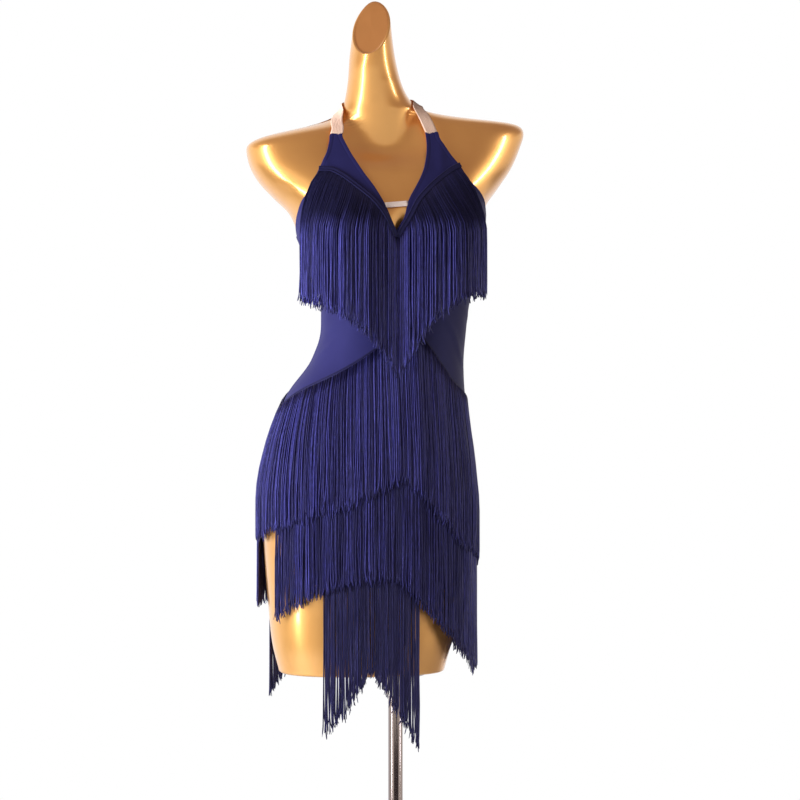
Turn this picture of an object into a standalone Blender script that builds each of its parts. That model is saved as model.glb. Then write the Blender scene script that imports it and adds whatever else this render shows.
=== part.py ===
"""Latin dance dress with tiered fringe, worn by a limbless dress form on a pole stand.

Metres, +Z up. The dress faces -Y. Left and right are the wearer's: the wearer's right is at -X.
The origin is the middle of the underside of the stand's base.

The figure is one closed surface, figure_point(angle, level). An angle is in degrees round the figure,
0 at the middle of the front, +90 at the wearer's left side and 180 at the middle of the back. A level
is a height. Every piece of cloth is cut on that surface by its angles and levels, and moved out from it.
"""

import bpy
import numpy as np

# Figure: one row for each level. Widths and depths are coordinates in millimetres. The power is
# the squareness of the section (2 is an ellipse), and the tilt is how far the section's left side
# rises, for each unit of width.
SECTION_COLUMNS = ("level", "x_right", "x_left", "y_front", "y_back", "power", "tilt")
FIGURE_SECTIONS = (
    (0.632, -181, 74, -94, 94, 2.2, 0.000),
    (0.680, -192, 88, -100, 104, 2.2, 0.000),
    (0.740, -198, 102, -104, 112, 2.2, -0.020),
    (0.810, -203, 114, -106, 120, 2.2, -0.040),
    (0.895, -206, 122, -107, 128, 2.2, -0.060),
    (0.970, -194, 116, -105, 120, 2.2, -0.060),
    (1.050, -166, 106, -98, 103, 2.15, -0.050),
    (1.110, -127, 102, -90, 88, 2.1, -0.030),
    (1.160, -113, 106, -85, 80, 2.1, -0.010),
    (1.200, -113, 111, -85, 78, 2.1, 0.000),
    (1.250, -132, 125, -92, 82, 2.1, 0.000),
    (1.300, -150, 134, -98, 90, 2.15, 0.010),
    (1.340, -164, 137, -100, 97, 2.2, 0.030),
    (1.370, -189, 160, -95, 101, 2.3, 0.050),
    (1.400, -213, 183, -88, 102, 2.5, 0.060),
    (1.430, -227, 198, -76, 98, 2.6, 0.065),
    (1.455, -231, 206, -66, 90, 2.5, 0.065),
    (1.470, -204, 196, -60, 84, 2.3, 0.065),
    (1.482, -126, 116, -56, 76, 2.1, 0.060),
    (1.498, -85, 43, -52, 62, 2.0, 0.040),
    (1.516, -79, 20, -51, 52, 2.0, 0.020),
    (1.545, -75, 6, -50, 44, 2.0, 0.000),
    (1.600, -73, -5, -49, 38, 2.0, 0.000),
    (1.660, -68, -11, -47, 34, 2.0, 0.000),
)
BUST = {"angle": 36.0, "level": 1.315, "reach": 0.040, "spread": 27.0, "height": 0.052}
# The share of the bust's reach that widens the figure, and the least part of a normal that is taken
# as level where a point is moved out sideways from a slope.
BUST_SIDEWAYS = 0.35
STEEPEST = 0.35

# Rings of the form's mesh: (first level, last level, spacing), and how far the rings at its two rims
# are drawn in, for a soft edge.
RING_SPANS = (
    (0.665, 0.845, 0.045),
    (0.892, 1.212, 0.032),
    (1.229, 1.457, 0.012),
    (1.470, 1.499, 0.007),
    (1.510, 1.540, 0.015),
    (1.570, 1.630, 0.030),
)
RIM_RINGS = ((0.632, 0.0045), (0.636, 0.0012), (0.646, 0.0), (1.652, 0.0), (1.660, 0.0025))
# Columns of the form's mesh: closer together across the front, between these two angles.
FRONT_COLUMNS = (-78.0, 78.0)
FRONT_COLUMN_ANGLE = 6.0
BACK_COLUMN_ANGLE = 12.0

# Neck cut: above NECK_START the rings lean until the last one lies in this plane.
NECK_START = 1.540
NECK_CUT = {"level": 1.627, "rise_back": 0.98, "rise_left": 0.75}

# Walls and clearances. The gap is between the form and the cloth; a seam is the space that a piece
# leaves on its side of a seam line, as an angle or a level.
CLOTH_GAP = 0.0025
CLOTH_WALL = 0.0012
TAPE_WALL = 0.0012
TAPE_HEIGHT = 0.008
FRINGE_WALL = 0.0016
FRINGE_UNDER_TAPE = 0.0016
SEAM_ANGLE = 0.14
SEAM_LEVEL = 0.00025

# Straps.
NECK_STRAP_WIDTH = 0.018
NECK_STRAP_WALL = 0.0012
NECK_STRAP_CELLS = 46
STRAP_LIFT = 0.0005
BRIDGE_STRAP = {"level": 1.3450, "height": 0.009, "right": -9.0, "left": 2.1, "rise": 0.001}

# Seams that several pieces share.
FRONT_SEAM_ANGLE = -5.0
SIDE_SEAM_ANGLE = 90.0
UNDERBUST_LEVEL = 1.215
HIP_SEAM_LEVEL = 1.020
NECKLINE_POINT = 1.305

# Stand.
POLE_RADIUS = 0.01125
POLE_CLEARANCE = 0.0004
POLE_TOP = 0.617
BASE_RADIUS = 0.175
BASE_RIM = 0.006
BASE_MIDDLE = 0.009
BASE_BOSS_RADIUS = 0.020
BASE_BOSS_HEIGHT = 0.034
BASE_SOCKET_FLOOR = 0.006
FLANGE_RADIUS = 0.045
FLANGE_THICKNESS = 0.006
SLEEVE_RADIUS = 0.016
SLEEVE_LENGTH = 0.032
FORM_BOTTOM = 0.632
FORM_GAP = 0.0004
TURNING_STEPS = 32

# Cut edges of the panels, a row for each level: the angles of the panel's two edges.
BODICE_RIGHT_EDGES = (
    (1.4600, -23.8, -17.6),
    (1.450, -22.4, -16.3),
    (1.434, -22.5, -15.0),
    (1.418, -25.5, -13.7),
    (1.401, -32.0, -12.8),
    (1.385, -38.5, -11.6),
    (1.374, -44.0, -10.9),
    (1.360, -55.0, -10.0),
    (1.346, -66.0, -9.3),
    (1.328, -79.0, -8.4),
    (1.316, -86.0, -7.0),
    (NECKLINE_POINT, -90.0, FRONT_SEAM_ANGLE),
    (UNDERBUST_LEVEL, -90.0, FRONT_SEAM_ANGLE),
)
BODICE_LEFT_EDGES = (
    (1.4550, 7.8, 12.6),
    (1.446, 7.8, 12.9),
    (1.434, 7.9, 14.8),
    (1.418, 8.0, 18.3),
    (1.401, 7.8, 24.0),
    (1.385, 7.1, 30.0),
    (1.372, 5.9, 37.5),
    (1.360, 4.3, 47.0),
    (1.350, 3.0, 57.0),
    (1.335, 1.3, 70.0),
    (1.322, -0.6, 83.0),
    (1.314, -2.6, 88.0),
    (NECKLINE_POINT, FRONT_SEAM_ANGLE, 90.0),
    (UNDERBUST_LEVEL, FRONT_SEAM_ANGLE, 90.0),
)

# Edges that run round the figure, a row for each angle: the level of the edge.
BACK_TOP_EDGE = (
    (90, 1.306),
    (110, 1.301),
    (145, 1.287),
    (180, 1.282),
    (215, 1.287),
    (250, 1.301),
    (270, 1.306),
)
SKIRT_FRONT_HEM = (
    (-90, 0.862),
    (-64, 0.842),
    (-32, 0.768),
    (0, 0.768),
    (32, 0.762),
    (64, 0.800),
    (90, 0.845),
)
SKIRT_BACK_HEM = (
    (90, 0.845),
    (115, 0.800),
    (145, 0.757),
    (215, 0.772),
    (245, 0.815),
    (270, 0.862),
)

# Neck strap: its middle line, as angles and levels, from the top of the right bodice side, behind the
# neck, to the top of the left one.
NECK_STRAP_LINE = (
    (-22.3, 1.4632),
    (-25.2, 1.4680),
    (-34.0, 1.4755),
    (-49.0, 1.4825),
    (-67.0, 1.4910),
    (-88.0, 1.4995),
    (-118.0, 1.5050),
    (-150.0, 1.5090),
    (-180.0, 1.5110),
    (-210.0, 1.5100),
    (-245.0, 1.5080),
    (-280.0, 1.5050),
    (-309.0, 1.5000),
    (-328.0, 1.4930),
    (-341.5, 1.4835),
    (-348.5, 1.4760),
    (-350.4, 1.4680),
    (-350.2, 1.4584),
)

# Fringe. columns and rows are the mesh of the row's solid. tape_out is how far its tape stands off the
# figure. out holds (distance fallen, stand-off of the strands), so that a row passes over what is
# under it. Down to the level cling the strands lie on the bust and fan out; below it they hang free.
# line holds (angle, level of the tape, angle that the strands have fanned out to, strand length).
NO_CLING = 9.0
FRINGE_ROWS = {
    "bodice_right": {
        "columns": 21,
        "rows": 12,
        "tape_out": 0.0056,
        "out": ((0.0, 0.0088), (1.0, 0.0088)),
        "cling": 1.318,
        "line": (
            (-31.0, 1.406, -70.0, 0.211),
            (-25.5, 1.404, -56.0, 0.209),
            (-21.5, 1.395, -44.0, 0.206),
            (-17.0, 1.371, -30.0, 0.203),
            (-12.0, 1.345, -19.0, 0.202),
            (-8.0, 1.319, -11.5, 0.206),
            (-5.2, 1.297, -6.0, 0.203),
        ),
    },
    "bodice_left": {
        "columns": 24,
        "rows": 12,
        "tape_out": 0.0056,
        "out": ((0.0, 0.0094), (1.0, 0.0094)),
        "cling": 1.318,
        "line": (
            (-4.8, 1.297, -4.0, 0.203),
            (-2.0, 1.308, -0.5, 0.207),
            (4.0, 1.333, 7.0, 0.199),
            (9.5, 1.357, 17.0, 0.191),
            (16.5, 1.385, 34.0, 0.193),
            (20.5, 1.397, 47.0, 0.202),
            (24.0, 1.402, 56.0, 0.207),
        ),
    },
    "hip_front": {
        "columns": 26,
        "rows": 7,
        "tape_out": 0.0046,
        "out": ((0.0, 0.0054), (0.040, 0.0054), (0.095, 0.0102), (0.130, 0.0102), (0.160, 0.0136)),
        "cling": NO_CLING,
        "line": (
            (-89.8, 1.032, -89.5, 0.204),
            (-70.0, 1.052, -72.0, 0.203),
            (-45.0, 1.081, -50.0, 0.208),
            (-19.0, 1.124, -20.0, 0.213),
            (-5.0, 1.148, -5.0, 0.217),
            (2.0, 1.157, 2.0, 0.235),
            (16.0, 1.138, 17.0, 0.243),
            (31.0, 1.109, 33.0, 0.238),
            (50.0, 1.078, 52.0, 0.239),
            (89.8, 1.052, 89.5, 0.241),
        ),
    },
    "hip_back": {
        "columns": 26,
        "rows": 7,
        "tape_out": 0.0046,
        "out": ((0.0, 0.0054), (0.040, 0.0054), (0.095, 0.0102), (0.130, 0.0102), (0.160, 0.0136)),
        "cling": NO_CLING,
        "line": (
            (90.2, 1.052, 90.5, 0.234),
            (130.0, 1.082, 128.0, 0.225),
            (160.0, 1.112, 159.0, 0.225),
            (180.0, 1.132, 180.0, 0.225),
            (200.0, 1.112, 201.0, 0.225),
            (230.0, 1.075, 232.0, 0.218),
            (269.8, 1.032, 269.5, 0.204),
        ),
    },
    "middle_front": {
        "columns": 23,
        "rows": 7,
        "tape_out": 0.0046,
        "out": ((0.0, 0.0054), (0.108, 0.0054), (0.132, 0.0094)),
        "cling": NO_CLING,
        "line": (
            (-65.0, 0.943, -66.0, 0.231),
            (-39.0, 0.976, -39.0, 0.225),
            (-13.0, 0.996, -13.0, 0.219),
            (4.0, 1.010, 4.0, 0.229),
            (12.0, 0.990, 12.0, 0.223),
            (37.0, 0.937, 38.0, 0.229),
            (60.0, 0.897, 61.0, 0.229),
            (89.8, 0.865, 89.5, 0.216),
        ),
    },
    "middle_back": {
        "columns": 23,
        "rows": 7,
        "tape_out": 0.0046,
        "out": ((0.0, 0.0054), (0.060, 0.0054), (0.094, 0.0094)),
        "cling": NO_CLING,
        "line": (
            (90.2, 0.865, 90.5, 0.225),
            (130.0, 0.915, 130.0, 0.225),
            (165.0, 0.972, 165.0, 0.225),
            (180.0, 0.992, 180.0, 0.225),
            (195.0, 0.984, 195.0, 0.225),
            (256.0, 0.952, 256.0, 0.225),
        ),
    },
    "tail_front": {
        "columns": 10,
        "rows": 7,
        "tape_out": 0.0046,
        "out": ((0.0, 0.0054), (1.0, 0.0054)),
        "cling": NO_CLING,
        "line": (
            (-30.0, 0.778, -30.0, 0.227),
            (-17.0, 0.820, -17.0, 0.236),
            (-5.0, 0.868, -5.0, 0.229),
            (8.0, 0.812, 8.0, 0.230),
            (21.0, 0.760, 21.0, 0.227),
        ),
    },
    "tail_back": {
        "columns": 12,
        "rows": 7,
        "tape_out": 0.0046,
        "out": ((0.0, 0.0054), (1.0, 0.0054)),
        "cling": NO_CLING,
        "line": (
            (151.0, 0.772, 151.0, 0.225),
            (168.0, 0.838, 168.0, 0.225),
            (188.0, 0.890, 188.0, 0.225),
            (205.0, 0.872, 205.0, 0.225),
            (222.0, 0.843, 222.0, 0.225),
            (237.0, 0.817, 237.0, 0.225),
        ),
    },
}

STRAND_STEP = 0.004
FAN_POWER = 1.25
TAPE_SLOPE_LIMIT = 2.2

# Mesh of the panels: the angle between columns, the rows of each panel, and the levels of a bodice side.
PANEL_COLUMN_ANGLE = 9.0
PANEL_ROWS = {"midriff_front": 8, "body_back": 10, "skirt_front": 7, "skirt_back": 7}
BODICE_COLUMNS = 12
BODICE_LOWER_ROWS = 7
BODICE_UPPER_ROWS = 14
BODICE_SPLIT_LEVEL = 1.316
BRIDGE_COLUMNS = 6

# Finishes: base colour, roughness and metallic value.
FINISHES = {
    "gold_paint": ((0.72, 0.47, 0.22, 1.0), 0.25, 0.6),
    "chrome": ((0.75, 0.73, 0.72, 1.0), 0.12, 1.0),
    "steel": ((0.45, 0.45, 0.46, 1.0), 0.35, 1.0),
    "navy_stretch": ((0.022, 0.020, 0.065, 1.0), 0.55, 0.0),
    "navy_fringe": ((0.030, 0.028, 0.085, 1.0), 0.50, 0.0),
    "nude_elastic": ((0.76, 0.46, 0.33, 1.0), 0.70, 0.0),
}


def smooth_table(values, keys, entries):
    """The entries of a table at any values of its keys, on a cubic that never overshoots a row.

    The slope at a row is the harmonic mean of the slopes on its two sides, or 0 where they differ in
    sign, and Hermite's four polynomials join the rows.
    """
    keys = np.asarray(keys, float)
    entries = np.asarray(entries, float)
    values = np.clip(values, keys[0], keys[-1])
    cell = np.clip(np.searchsorted(keys, values, side="right") - 1, 0, len(keys) - 2)
    width = np.diff(keys)
    slope = np.diff(entries) / width
    before = slope[:-1]
    after = slope[1:]
    same_way = before * after > 0
    total = np.where(same_way, before + after, 1.0)
    tangent = np.empty(len(keys))
    tangent[0] = slope[0]
    tangent[-1] = slope[-1]
    tangent[1:-1] = np.where(same_way, 2 * before * after / total, 0.0)
    t = (values - keys[cell]) / width[cell]
    start = (2 * t**3 - 3 * t**2 + 1) * entries[cell]
    end = (3 * t**2 - 2 * t**3) * entries[cell + 1]
    leave = (t**3 - 2 * t**2 + t) * width[cell] * tangent[cell]
    arrive = (t**3 - t**2) * width[cell] * tangent[cell + 1]
    return start + end + leave + arrive


SECTION_TABLE = np.array(FIGURE_SECTIONS).T
MILLIMETRE = 0.001


def section(name, level):
    """One column of the figure's table at any level, in metres for widths and depths."""
    entries = SECTION_TABLE[SECTION_COLUMNS.index(name)]
    scale = MILLIMETRE if name[1] == "_" else 1.0
    return smooth_table(level, SECTION_TABLE[0], entries) * scale


def bust_reach(angle, level):
    """How far the two bust mounds stand out at an angle and a level."""
    turn = (angle + 180.0) % 360.0 - 180.0
    mounds = sum(np.exp(-(((turn - side * BUST["angle"]) / BUST["spread"]) ** 2)) for side in (-1, 1))
    return BUST["reach"] * mounds * np.exp(-(((level - BUST["level"]) / BUST["height"]) ** 2))


def bare_point(angle, level):
    """The figure's surface.

    x = middle + half_width sign(s) |s|^(2/power) + 0.35 bust s and y = middle - half_depth sign(c)
    |c|^(2/power) - bust c, where s and c are the angle's sine and cosine. z is the level, tilted
    sideways, and on the neck it leans until the top ring lies in the neck cut.
    """
    angle, level = np.broadcast_arrays(np.asarray(angle, float), np.asarray(level, float))
    middle_x = (section("x_right", level) + section("x_left", level)) / 2
    middle_y = (section("y_front", level) + section("y_back", level)) / 2
    half_width = (section("x_left", level) - section("x_right", level)) / 2
    half_depth = (section("y_back", level) - section("y_front", level)) / 2
    power = 2 / section("power", level)
    across = np.sin(np.radians(angle))
    ahead = np.cos(np.radians(angle))
    bust = bust_reach(angle, level)
    x = middle_x + half_width * np.sign(across) * np.abs(across) ** power + BUST_SIDEWAYS * bust * across
    y = middle_y - half_depth * np.sign(ahead) * np.abs(ahead) ** power - bust * ahead
    z = level + section("tilt", level) * (x - middle_x)
    top = SECTION_TABLE[0][-1]
    lean = np.clip((level - NECK_START) / (top - NECK_START), 0, 1)
    cut = NECK_CUT["level"] + NECK_CUT["rise_back"] * (y - middle_y) + NECK_CUT["rise_left"] * (x - middle_x)
    z = np.where(lean > 0, NECK_START + lean * (cut - NECK_START), z)
    return np.stack([x, y, z], axis=-1)


def figure_normal(angle, level):
    """The outward unit normal, from points a little to each side."""
    step_angle = 0.5
    step_level = 0.0008
    along = bare_point(angle + step_angle, level) - bare_point(angle - step_angle, level)
    up = bare_point(angle, level + step_level) - bare_point(angle, level - step_level)
    normal = np.cross(along, up)
    return normal / np.linalg.norm(normal, axis=-1, keepdims=True)


def figure_point(angle, level, out=0.0):
    """The figure's surface moved out along its normal."""
    angle, level = np.broadcast_arrays(np.asarray(angle, float), np.asarray(level, float))
    return bare_point(angle, level) + figure_normal(angle, level) * out


def beside_figure(angle, level, out):
    """A point out from the surface and level with it, so that a hanging strand keeps its height."""
    angle, level = np.broadcast_arrays(np.asarray(angle, float), np.asarray(level, float))
    normal = figure_normal(angle, level)
    flat = normal[..., :2]
    reach = np.linalg.norm(flat, axis=-1, keepdims=True)
    point = bare_point(angle, level)
    point[..., :2] += flat / reach * (np.asarray(out)[..., None] / np.maximum(reach, STEEPEST))
    return point


def angle_and_level(point):
    """The angle and level that a point in space stands beside."""
    x, y, z = point[..., 0], point[..., 1], point[..., 2]
    level = z.copy()
    for _ in range(4):
        middle_x = (section("x_right", level) + section("x_left", level)) / 2
        level = z - section("tilt", level) * (x - middle_x)
    middle_y = (section("y_front", level) + section("y_back", level)) / 2
    half_width = (section("x_left", level) - section("x_right", level)) / 2
    half_depth = (section("y_back", level) - section("y_front", level)) / 2
    power = section("power", level) / 2
    angle = np.degrees(np.arctan2(x - middle_x, middle_y - y))
    for _ in range(6):
        bust = bust_reach(angle, level)
        across = (x - middle_x - BUST_SIDEWAYS * bust * np.sin(np.radians(angle))) / half_width
        ahead = (middle_y - y - bust * np.cos(np.radians(angle))) / half_depth
        across = np.sign(across) * np.abs(across) ** power
        ahead = np.sign(ahead) * np.abs(ahead) ** power
        angle = np.degrees(np.arctan2(across, ahead))
    return angle, level


def push_clear(point, out):
    """Slide points that are nearer to the figure than out along its normal, level, and leave the others."""
    angle, level = angle_and_level(point)
    normal = figure_normal(angle, level)
    stands_off = np.sum((point - bare_point(angle, level)) * normal, axis=-1)
    flat = normal[..., :2]
    reach = np.linalg.norm(flat, axis=-1)
    short = np.clip(out - stands_off, 0, None) / np.maximum(reach, STEEPEST)
    moved = point.copy()
    moved[..., :2] += flat / reach[..., None] * short[..., None]
    return moved


def tape_line(row, angles):
    """A tape's level at each angle and half its height measured upright, which slopes make longer."""
    keys, levels = np.array(row["line"]).T[:2]
    level = smooth_table(angles, keys, levels)
    step = 0.5
    before = bare_point(angles - step, smooth_table(angles - step, keys, levels))
    after = bare_point(angles + step, smooth_table(angles + step, keys, levels))
    change = after - before
    flat = np.linalg.norm(change[..., :2], axis=-1)
    slope = np.linalg.norm(change, axis=-1) / flat
    return level, TAPE_HEIGHT / 2 * np.minimum(slope, TAPE_SLOPE_LIMIT)


def hanging_paths(row, angles):
    """Strands that fall from under a tape: they lie on the figure and fan out down to the row's cling
    level, then they drop straight down, and are pushed out wherever the figure is wider."""
    keys, _, ends, lengths = np.array(row["line"]).T
    fan = smooth_table(angles, keys, ends) - angles
    length = smooth_table(angles, keys, lengths)
    level, half_height = tape_line(row, angles)
    out_at = np.array(row["out"]).T
    start = level - half_height - FRINGE_UNDER_TAPE * half_height / (TAPE_HEIGHT / 2)
    point = beside_figure(angles, start, np.full(len(angles), out_at[1][0]))
    path = [point]
    fallen = 0.0
    clings_for = np.maximum(start - row["cling"], 0.0)
    for _ in range(int(lengths.max() / STRAND_STEP) + 2):
        fallen += STRAND_STEP
        out = np.full(len(angles), np.interp(fallen, *out_at))
        share = np.clip(fallen / np.maximum(clings_for, STRAND_STEP), 0, 1)
        lying = beside_figure(angles + fan * share**FAN_POWER, start - fallen, out)
        falling = push_clear(point - np.array([0.0, 0.0, STRAND_STEP]), out)
        point = np.where((fallen <= clings_for)[:, None], lying, falling)
        path.append(point)
    path = np.stack(path, axis=1)
    steps = np.linalg.norm(np.diff(path, axis=1), axis=-1)
    travelled = np.concatenate([np.zeros((len(angles), 1)), np.cumsum(steps, axis=1)], axis=1)
    wanted = np.linspace(0, 1, row["rows"])
    strands = np.empty((row["rows"], len(angles), 3))
    for i in range(len(angles)):
        for axis in range(3):
            strands[:, i, axis] = np.interp(wanted * length[i], travelled[i], path[i, :, axis])
    return strands


def spread(start, end):
    """Angles from start to end, about a panel column apart."""
    return np.linspace(start, end, int(np.ceil((end - start) / PANEL_COLUMN_ANGLE)) + 1)


def new_material(name):
    """The named finish, made once."""
    colour, roughness, metallic = FINISHES[name]
    material = bpy.data.materials.get(name) or bpy.data.materials.new(name)
    material.use_nodes = True
    shader = material.node_tree.nodes["Principled BSDF"]
    shader.inputs["Base Color"].default_value = colour
    shader.inputs["Roughness"].default_value = roughness
    shader.inputs["Metallic"].default_value = metallic
    material.diffuse_color = colour
    return material


def add_object(name, vertices, faces, finish, parent):
    """A mesh object in the dress's collection."""
    mesh = bpy.data.meshes.new(name)
    mesh.from_pydata([tuple(v) for v in vertices], [], faces)
    mesh.materials.append(new_material(finish))
    mesh.shade_smooth()
    mesh.update()
    thing = bpy.data.objects.new(name, mesh)
    parent_collection().objects.link(thing)
    thing.parent = parent
    return thing


def parent_collection():
    """The collection that holds every piece."""
    name = "latin_dance_dress"
    collection = bpy.data.collections.get(name)
    if collection is None:
        collection = bpy.data.collections.new(name)
        bpy.context.scene.collection.children.link(collection)
    return collection


def grid_faces(rows, columns, closed=False):
    """Quads over a grid of points, row by row, facing out where rows go down and columns turn left."""
    last = columns if closed else columns - 1
    return [
        (
            row * columns + column,
            (row + 1) * columns + column,
            (row + 1) * columns + (column + 1) % columns,
            row * columns + (column + 1) % columns,
        )
        for row in range(rows - 1)
        for column in range(last)
    ]


def add_sheet(name, grid, wall, finish, parent):
    """A grid of points, top row first, as an open surface given a wall on its outer side."""
    rows, columns = grid.shape[:2]
    sheet = add_object(name, grid.reshape(-1, 3), grid_faces(rows, columns), finish, parent)
    thickness = sheet.modifiers.new("wall", "SOLIDIFY")
    thickness.thickness = wall
    thickness.offset = 1.0
    thickness.use_even_offset = False
    thickness.use_quality_normals = True
    return sheet


def make_form(parent):
    """The dress form: rings of the figure's surface, closed by its flat bottom and its neck cut."""
    rims = np.array(RIM_RINGS)
    spans = [np.arange(first, last + step / 2, step) for first, last, step in RING_SPANS]
    levels = np.sort(np.concatenate([rims[:, 0], *spans]))[::-1]
    tuck = np.interp(levels, rims[:, 0], rims[:, 1])
    first, last = FRONT_COLUMNS
    front = np.arange(first, last, FRONT_COLUMN_ANGLE)
    back = np.arange(last, first + 360.0, BACK_COLUMN_ANGLE)
    angles = np.concatenate([front, back])
    columns = len(angles)
    grid = figure_point(angles[None, :], levels[:, None], -tuck[:, None, None])
    grid[-1, :, 2] = FORM_BOTTOM
    faces = grid_faces(len(levels), columns, closed=True)
    top = tuple(range(columns))
    last_ring = (len(levels) - 1) * columns
    bottom = tuple(range(last_ring, last_ring + columns))[::-1]
    add_object("form_torso", grid.reshape(-1, 3), faces + [top, bottom], "gold_paint", parent)


def turned(name, profile, finish, parent):
    """A profile of (radius, height) points, outer side first from the top down, turned about the pole."""
    mesh = bpy.data.meshes.new(name)
    points = [(radius, 0.0, height) for radius, height in profile]
    mesh.from_pydata(points, [(i, i + 1) for i in range(len(points) - 1)], [])
    mesh.materials.append(new_material(finish))
    thing = bpy.data.objects.new(name, mesh)
    parent_collection().objects.link(thing)
    thing.parent = parent
    screw = thing.modifiers.new("turn", "SCREW")
    screw.steps = TURNING_STEPS
    screw.render_steps = TURNING_STEPS
    screw.use_merge_vertices = True
    screw.merge_threshold = 0.00005
    screw.use_smooth_shade = True
    return thing


def make_stand(parent):
    """Round base with a boss, a pole that stands in it, and a flanged sleeve under the form."""
    chamfer = 0.0015
    bore = POLE_RADIUS + POLE_CLEARANCE
    base = (
        (bore, BASE_BOSS_HEIGHT),
        (BASE_BOSS_RADIUS - chamfer, BASE_BOSS_HEIGHT),
        (BASE_BOSS_RADIUS, BASE_BOSS_HEIGHT - chamfer),
        (BASE_BOSS_RADIUS, BASE_MIDDLE + 0.003),
        (BASE_BOSS_RADIUS + 0.003, BASE_MIDDLE),
        (BASE_RADIUS - 0.008, BASE_RIM + 0.001),
        (BASE_RADIUS - 0.002, BASE_RIM - 0.001),
        (BASE_RADIUS, BASE_RIM - 0.003),
        (BASE_RADIUS, 0.001),
        (BASE_RADIUS - 0.001, 0.0),
        (0.0, 0.0),
    )
    socket = ((0.0, BASE_SOCKET_FLOOR), (bore, BASE_SOCKET_FLOOR))
    turned("stand_base", socket + base, "steel", parent)
    pole = (
        (0.0, POLE_TOP),
        (POLE_RADIUS - chamfer, POLE_TOP),
        (POLE_RADIUS, POLE_TOP - chamfer),
        (POLE_RADIUS, BASE_SOCKET_FLOOR + POLE_CLEARANCE),
        (0.0, BASE_SOCKET_FLOOR + POLE_CLEARANCE),
    )
    turned("stand_pole", pole, "chrome", parent)
    top = FORM_BOTTOM - FORM_GAP
    flange_under = top - FLANGE_THICKNESS
    sleeve = (
        (0.0, top),
        (FLANGE_RADIUS - chamfer, top),
        (FLANGE_RADIUS, top - chamfer),
        (FLANGE_RADIUS, flange_under + chamfer),
        (FLANGE_RADIUS - chamfer, flange_under),
        (SLEEVE_RADIUS + chamfer, flange_under),
        (SLEEVE_RADIUS, flange_under - chamfer),
        (SLEEVE_RADIUS, flange_under - SLEEVE_LENGTH + chamfer),
        (SLEEVE_RADIUS - chamfer, flange_under - SLEEVE_LENGTH),
        (bore, flange_under - SLEEVE_LENGTH),
        (bore, POLE_TOP + POLE_CLEARANCE),
        (0.0, POLE_TOP + POLE_CLEARANCE),
    )
    turned("stand_flange", sleeve, "steel", parent)


def make_bodice_side(name, edges, parent):
    """A halter panel: its edges' angles at each level, from the strap down to the underbust seam."""
    table = np.array(edges)[::-1]
    lower = np.linspace(UNDERBUST_LEVEL + SEAM_LEVEL, NECKLINE_POINT, BODICE_LOWER_ROWS)
    upper = np.linspace(BODICE_SPLIT_LEVEL, table[-1, 0], BODICE_UPPER_ROWS)
    levels = np.concatenate([lower, upper])[::-1]
    first = smooth_table(levels, table[:, 0], table[:, 1]) + SEAM_ANGLE
    last = smooth_table(levels, table[:, 0], table[:, 2]) - SEAM_ANGLE
    share = np.linspace(0, 1, BODICE_COLUMNS)
    angles = first[:, None] * (1 - share) + last[:, None] * share
    grid = figure_point(angles, levels[:, None], CLOTH_GAP)
    add_sheet(name, grid, CLOTH_WALL, "navy_stretch", parent)


def make_round_panel(name, start, end, top_edge, bottom_edge, parent):
    """A panel from one side seam to the other, between an upper and a lower edge."""
    angles = spread(start + SEAM_ANGLE, end - SEAM_ANGLE)
    top = edge_levels(top_edge, angles) - SEAM_LEVEL
    bottom = edge_levels(bottom_edge, angles) + SEAM_LEVEL
    share = np.linspace(0, 1, PANEL_ROWS[name])[:, None]
    grid = figure_point(angles[None, :], top * (1 - share) + bottom * share, CLOTH_GAP)
    add_sheet(name, grid, CLOTH_WALL, "navy_stretch", parent)


def edge_levels(edge, angles):
    """The level of an edge, which is one height or a table, at each angle."""
    if isinstance(edge, float):
        return np.full(len(angles), edge)
    keys, levels = np.array(edge).T
    return smooth_table(angles, keys, levels)


def make_body_and_skirt(parent):
    """The two bodice sides and the four panels below them, seam to seam."""
    side = SIDE_SEAM_ANGLE
    make_bodice_side("bodice_right", BODICE_RIGHT_EDGES, parent)
    make_bodice_side("bodice_left", BODICE_LEFT_EDGES, parent)
    make_round_panel("midriff_front", -side, side, UNDERBUST_LEVEL, HIP_SEAM_LEVEL, parent)
    make_round_panel("body_back", side, 360 - side, BACK_TOP_EDGE, HIP_SEAM_LEVEL, parent)
    make_round_panel("skirt_front", -side, side, HIP_SEAM_LEVEL, SKIRT_FRONT_HEM, parent)
    make_round_panel("skirt_back", side, 360 - side, HIP_SEAM_LEVEL, SKIRT_BACK_HEM, parent)


def make_neck_strap(parent):
    """Elastic along a line on the figure, as wide as it is cut and pushed clear of the shoulders."""
    line_angles, line_levels = np.array(NECK_STRAP_LINE)[::-1].T
    rows = np.arange(len(line_angles))
    places = np.linspace(0, rows[-1], NECK_STRAP_CELLS)
    angles = smooth_table(places, rows, line_angles)
    levels = smooth_table(places, rows, line_levels)
    line = figure_point(angles, levels, CLOTH_GAP)
    normal = figure_normal(angles, levels)
    along = np.gradient(line, axis=0)
    along /= np.linalg.norm(along, axis=-1, keepdims=True)
    across = np.cross(normal, along)
    sides = np.array([0.5, 0.0, -0.5]) * NECK_STRAP_WIDTH
    grid = line[None, :] + across[None, :] * sides[:, None, None]
    grid = push_clear(grid, np.full(grid.shape[:2], CLOTH_GAP + STRAP_LIFT))
    add_sheet("neck_strap", grid, NECK_STRAP_WALL, "nude_elastic", parent)


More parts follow.
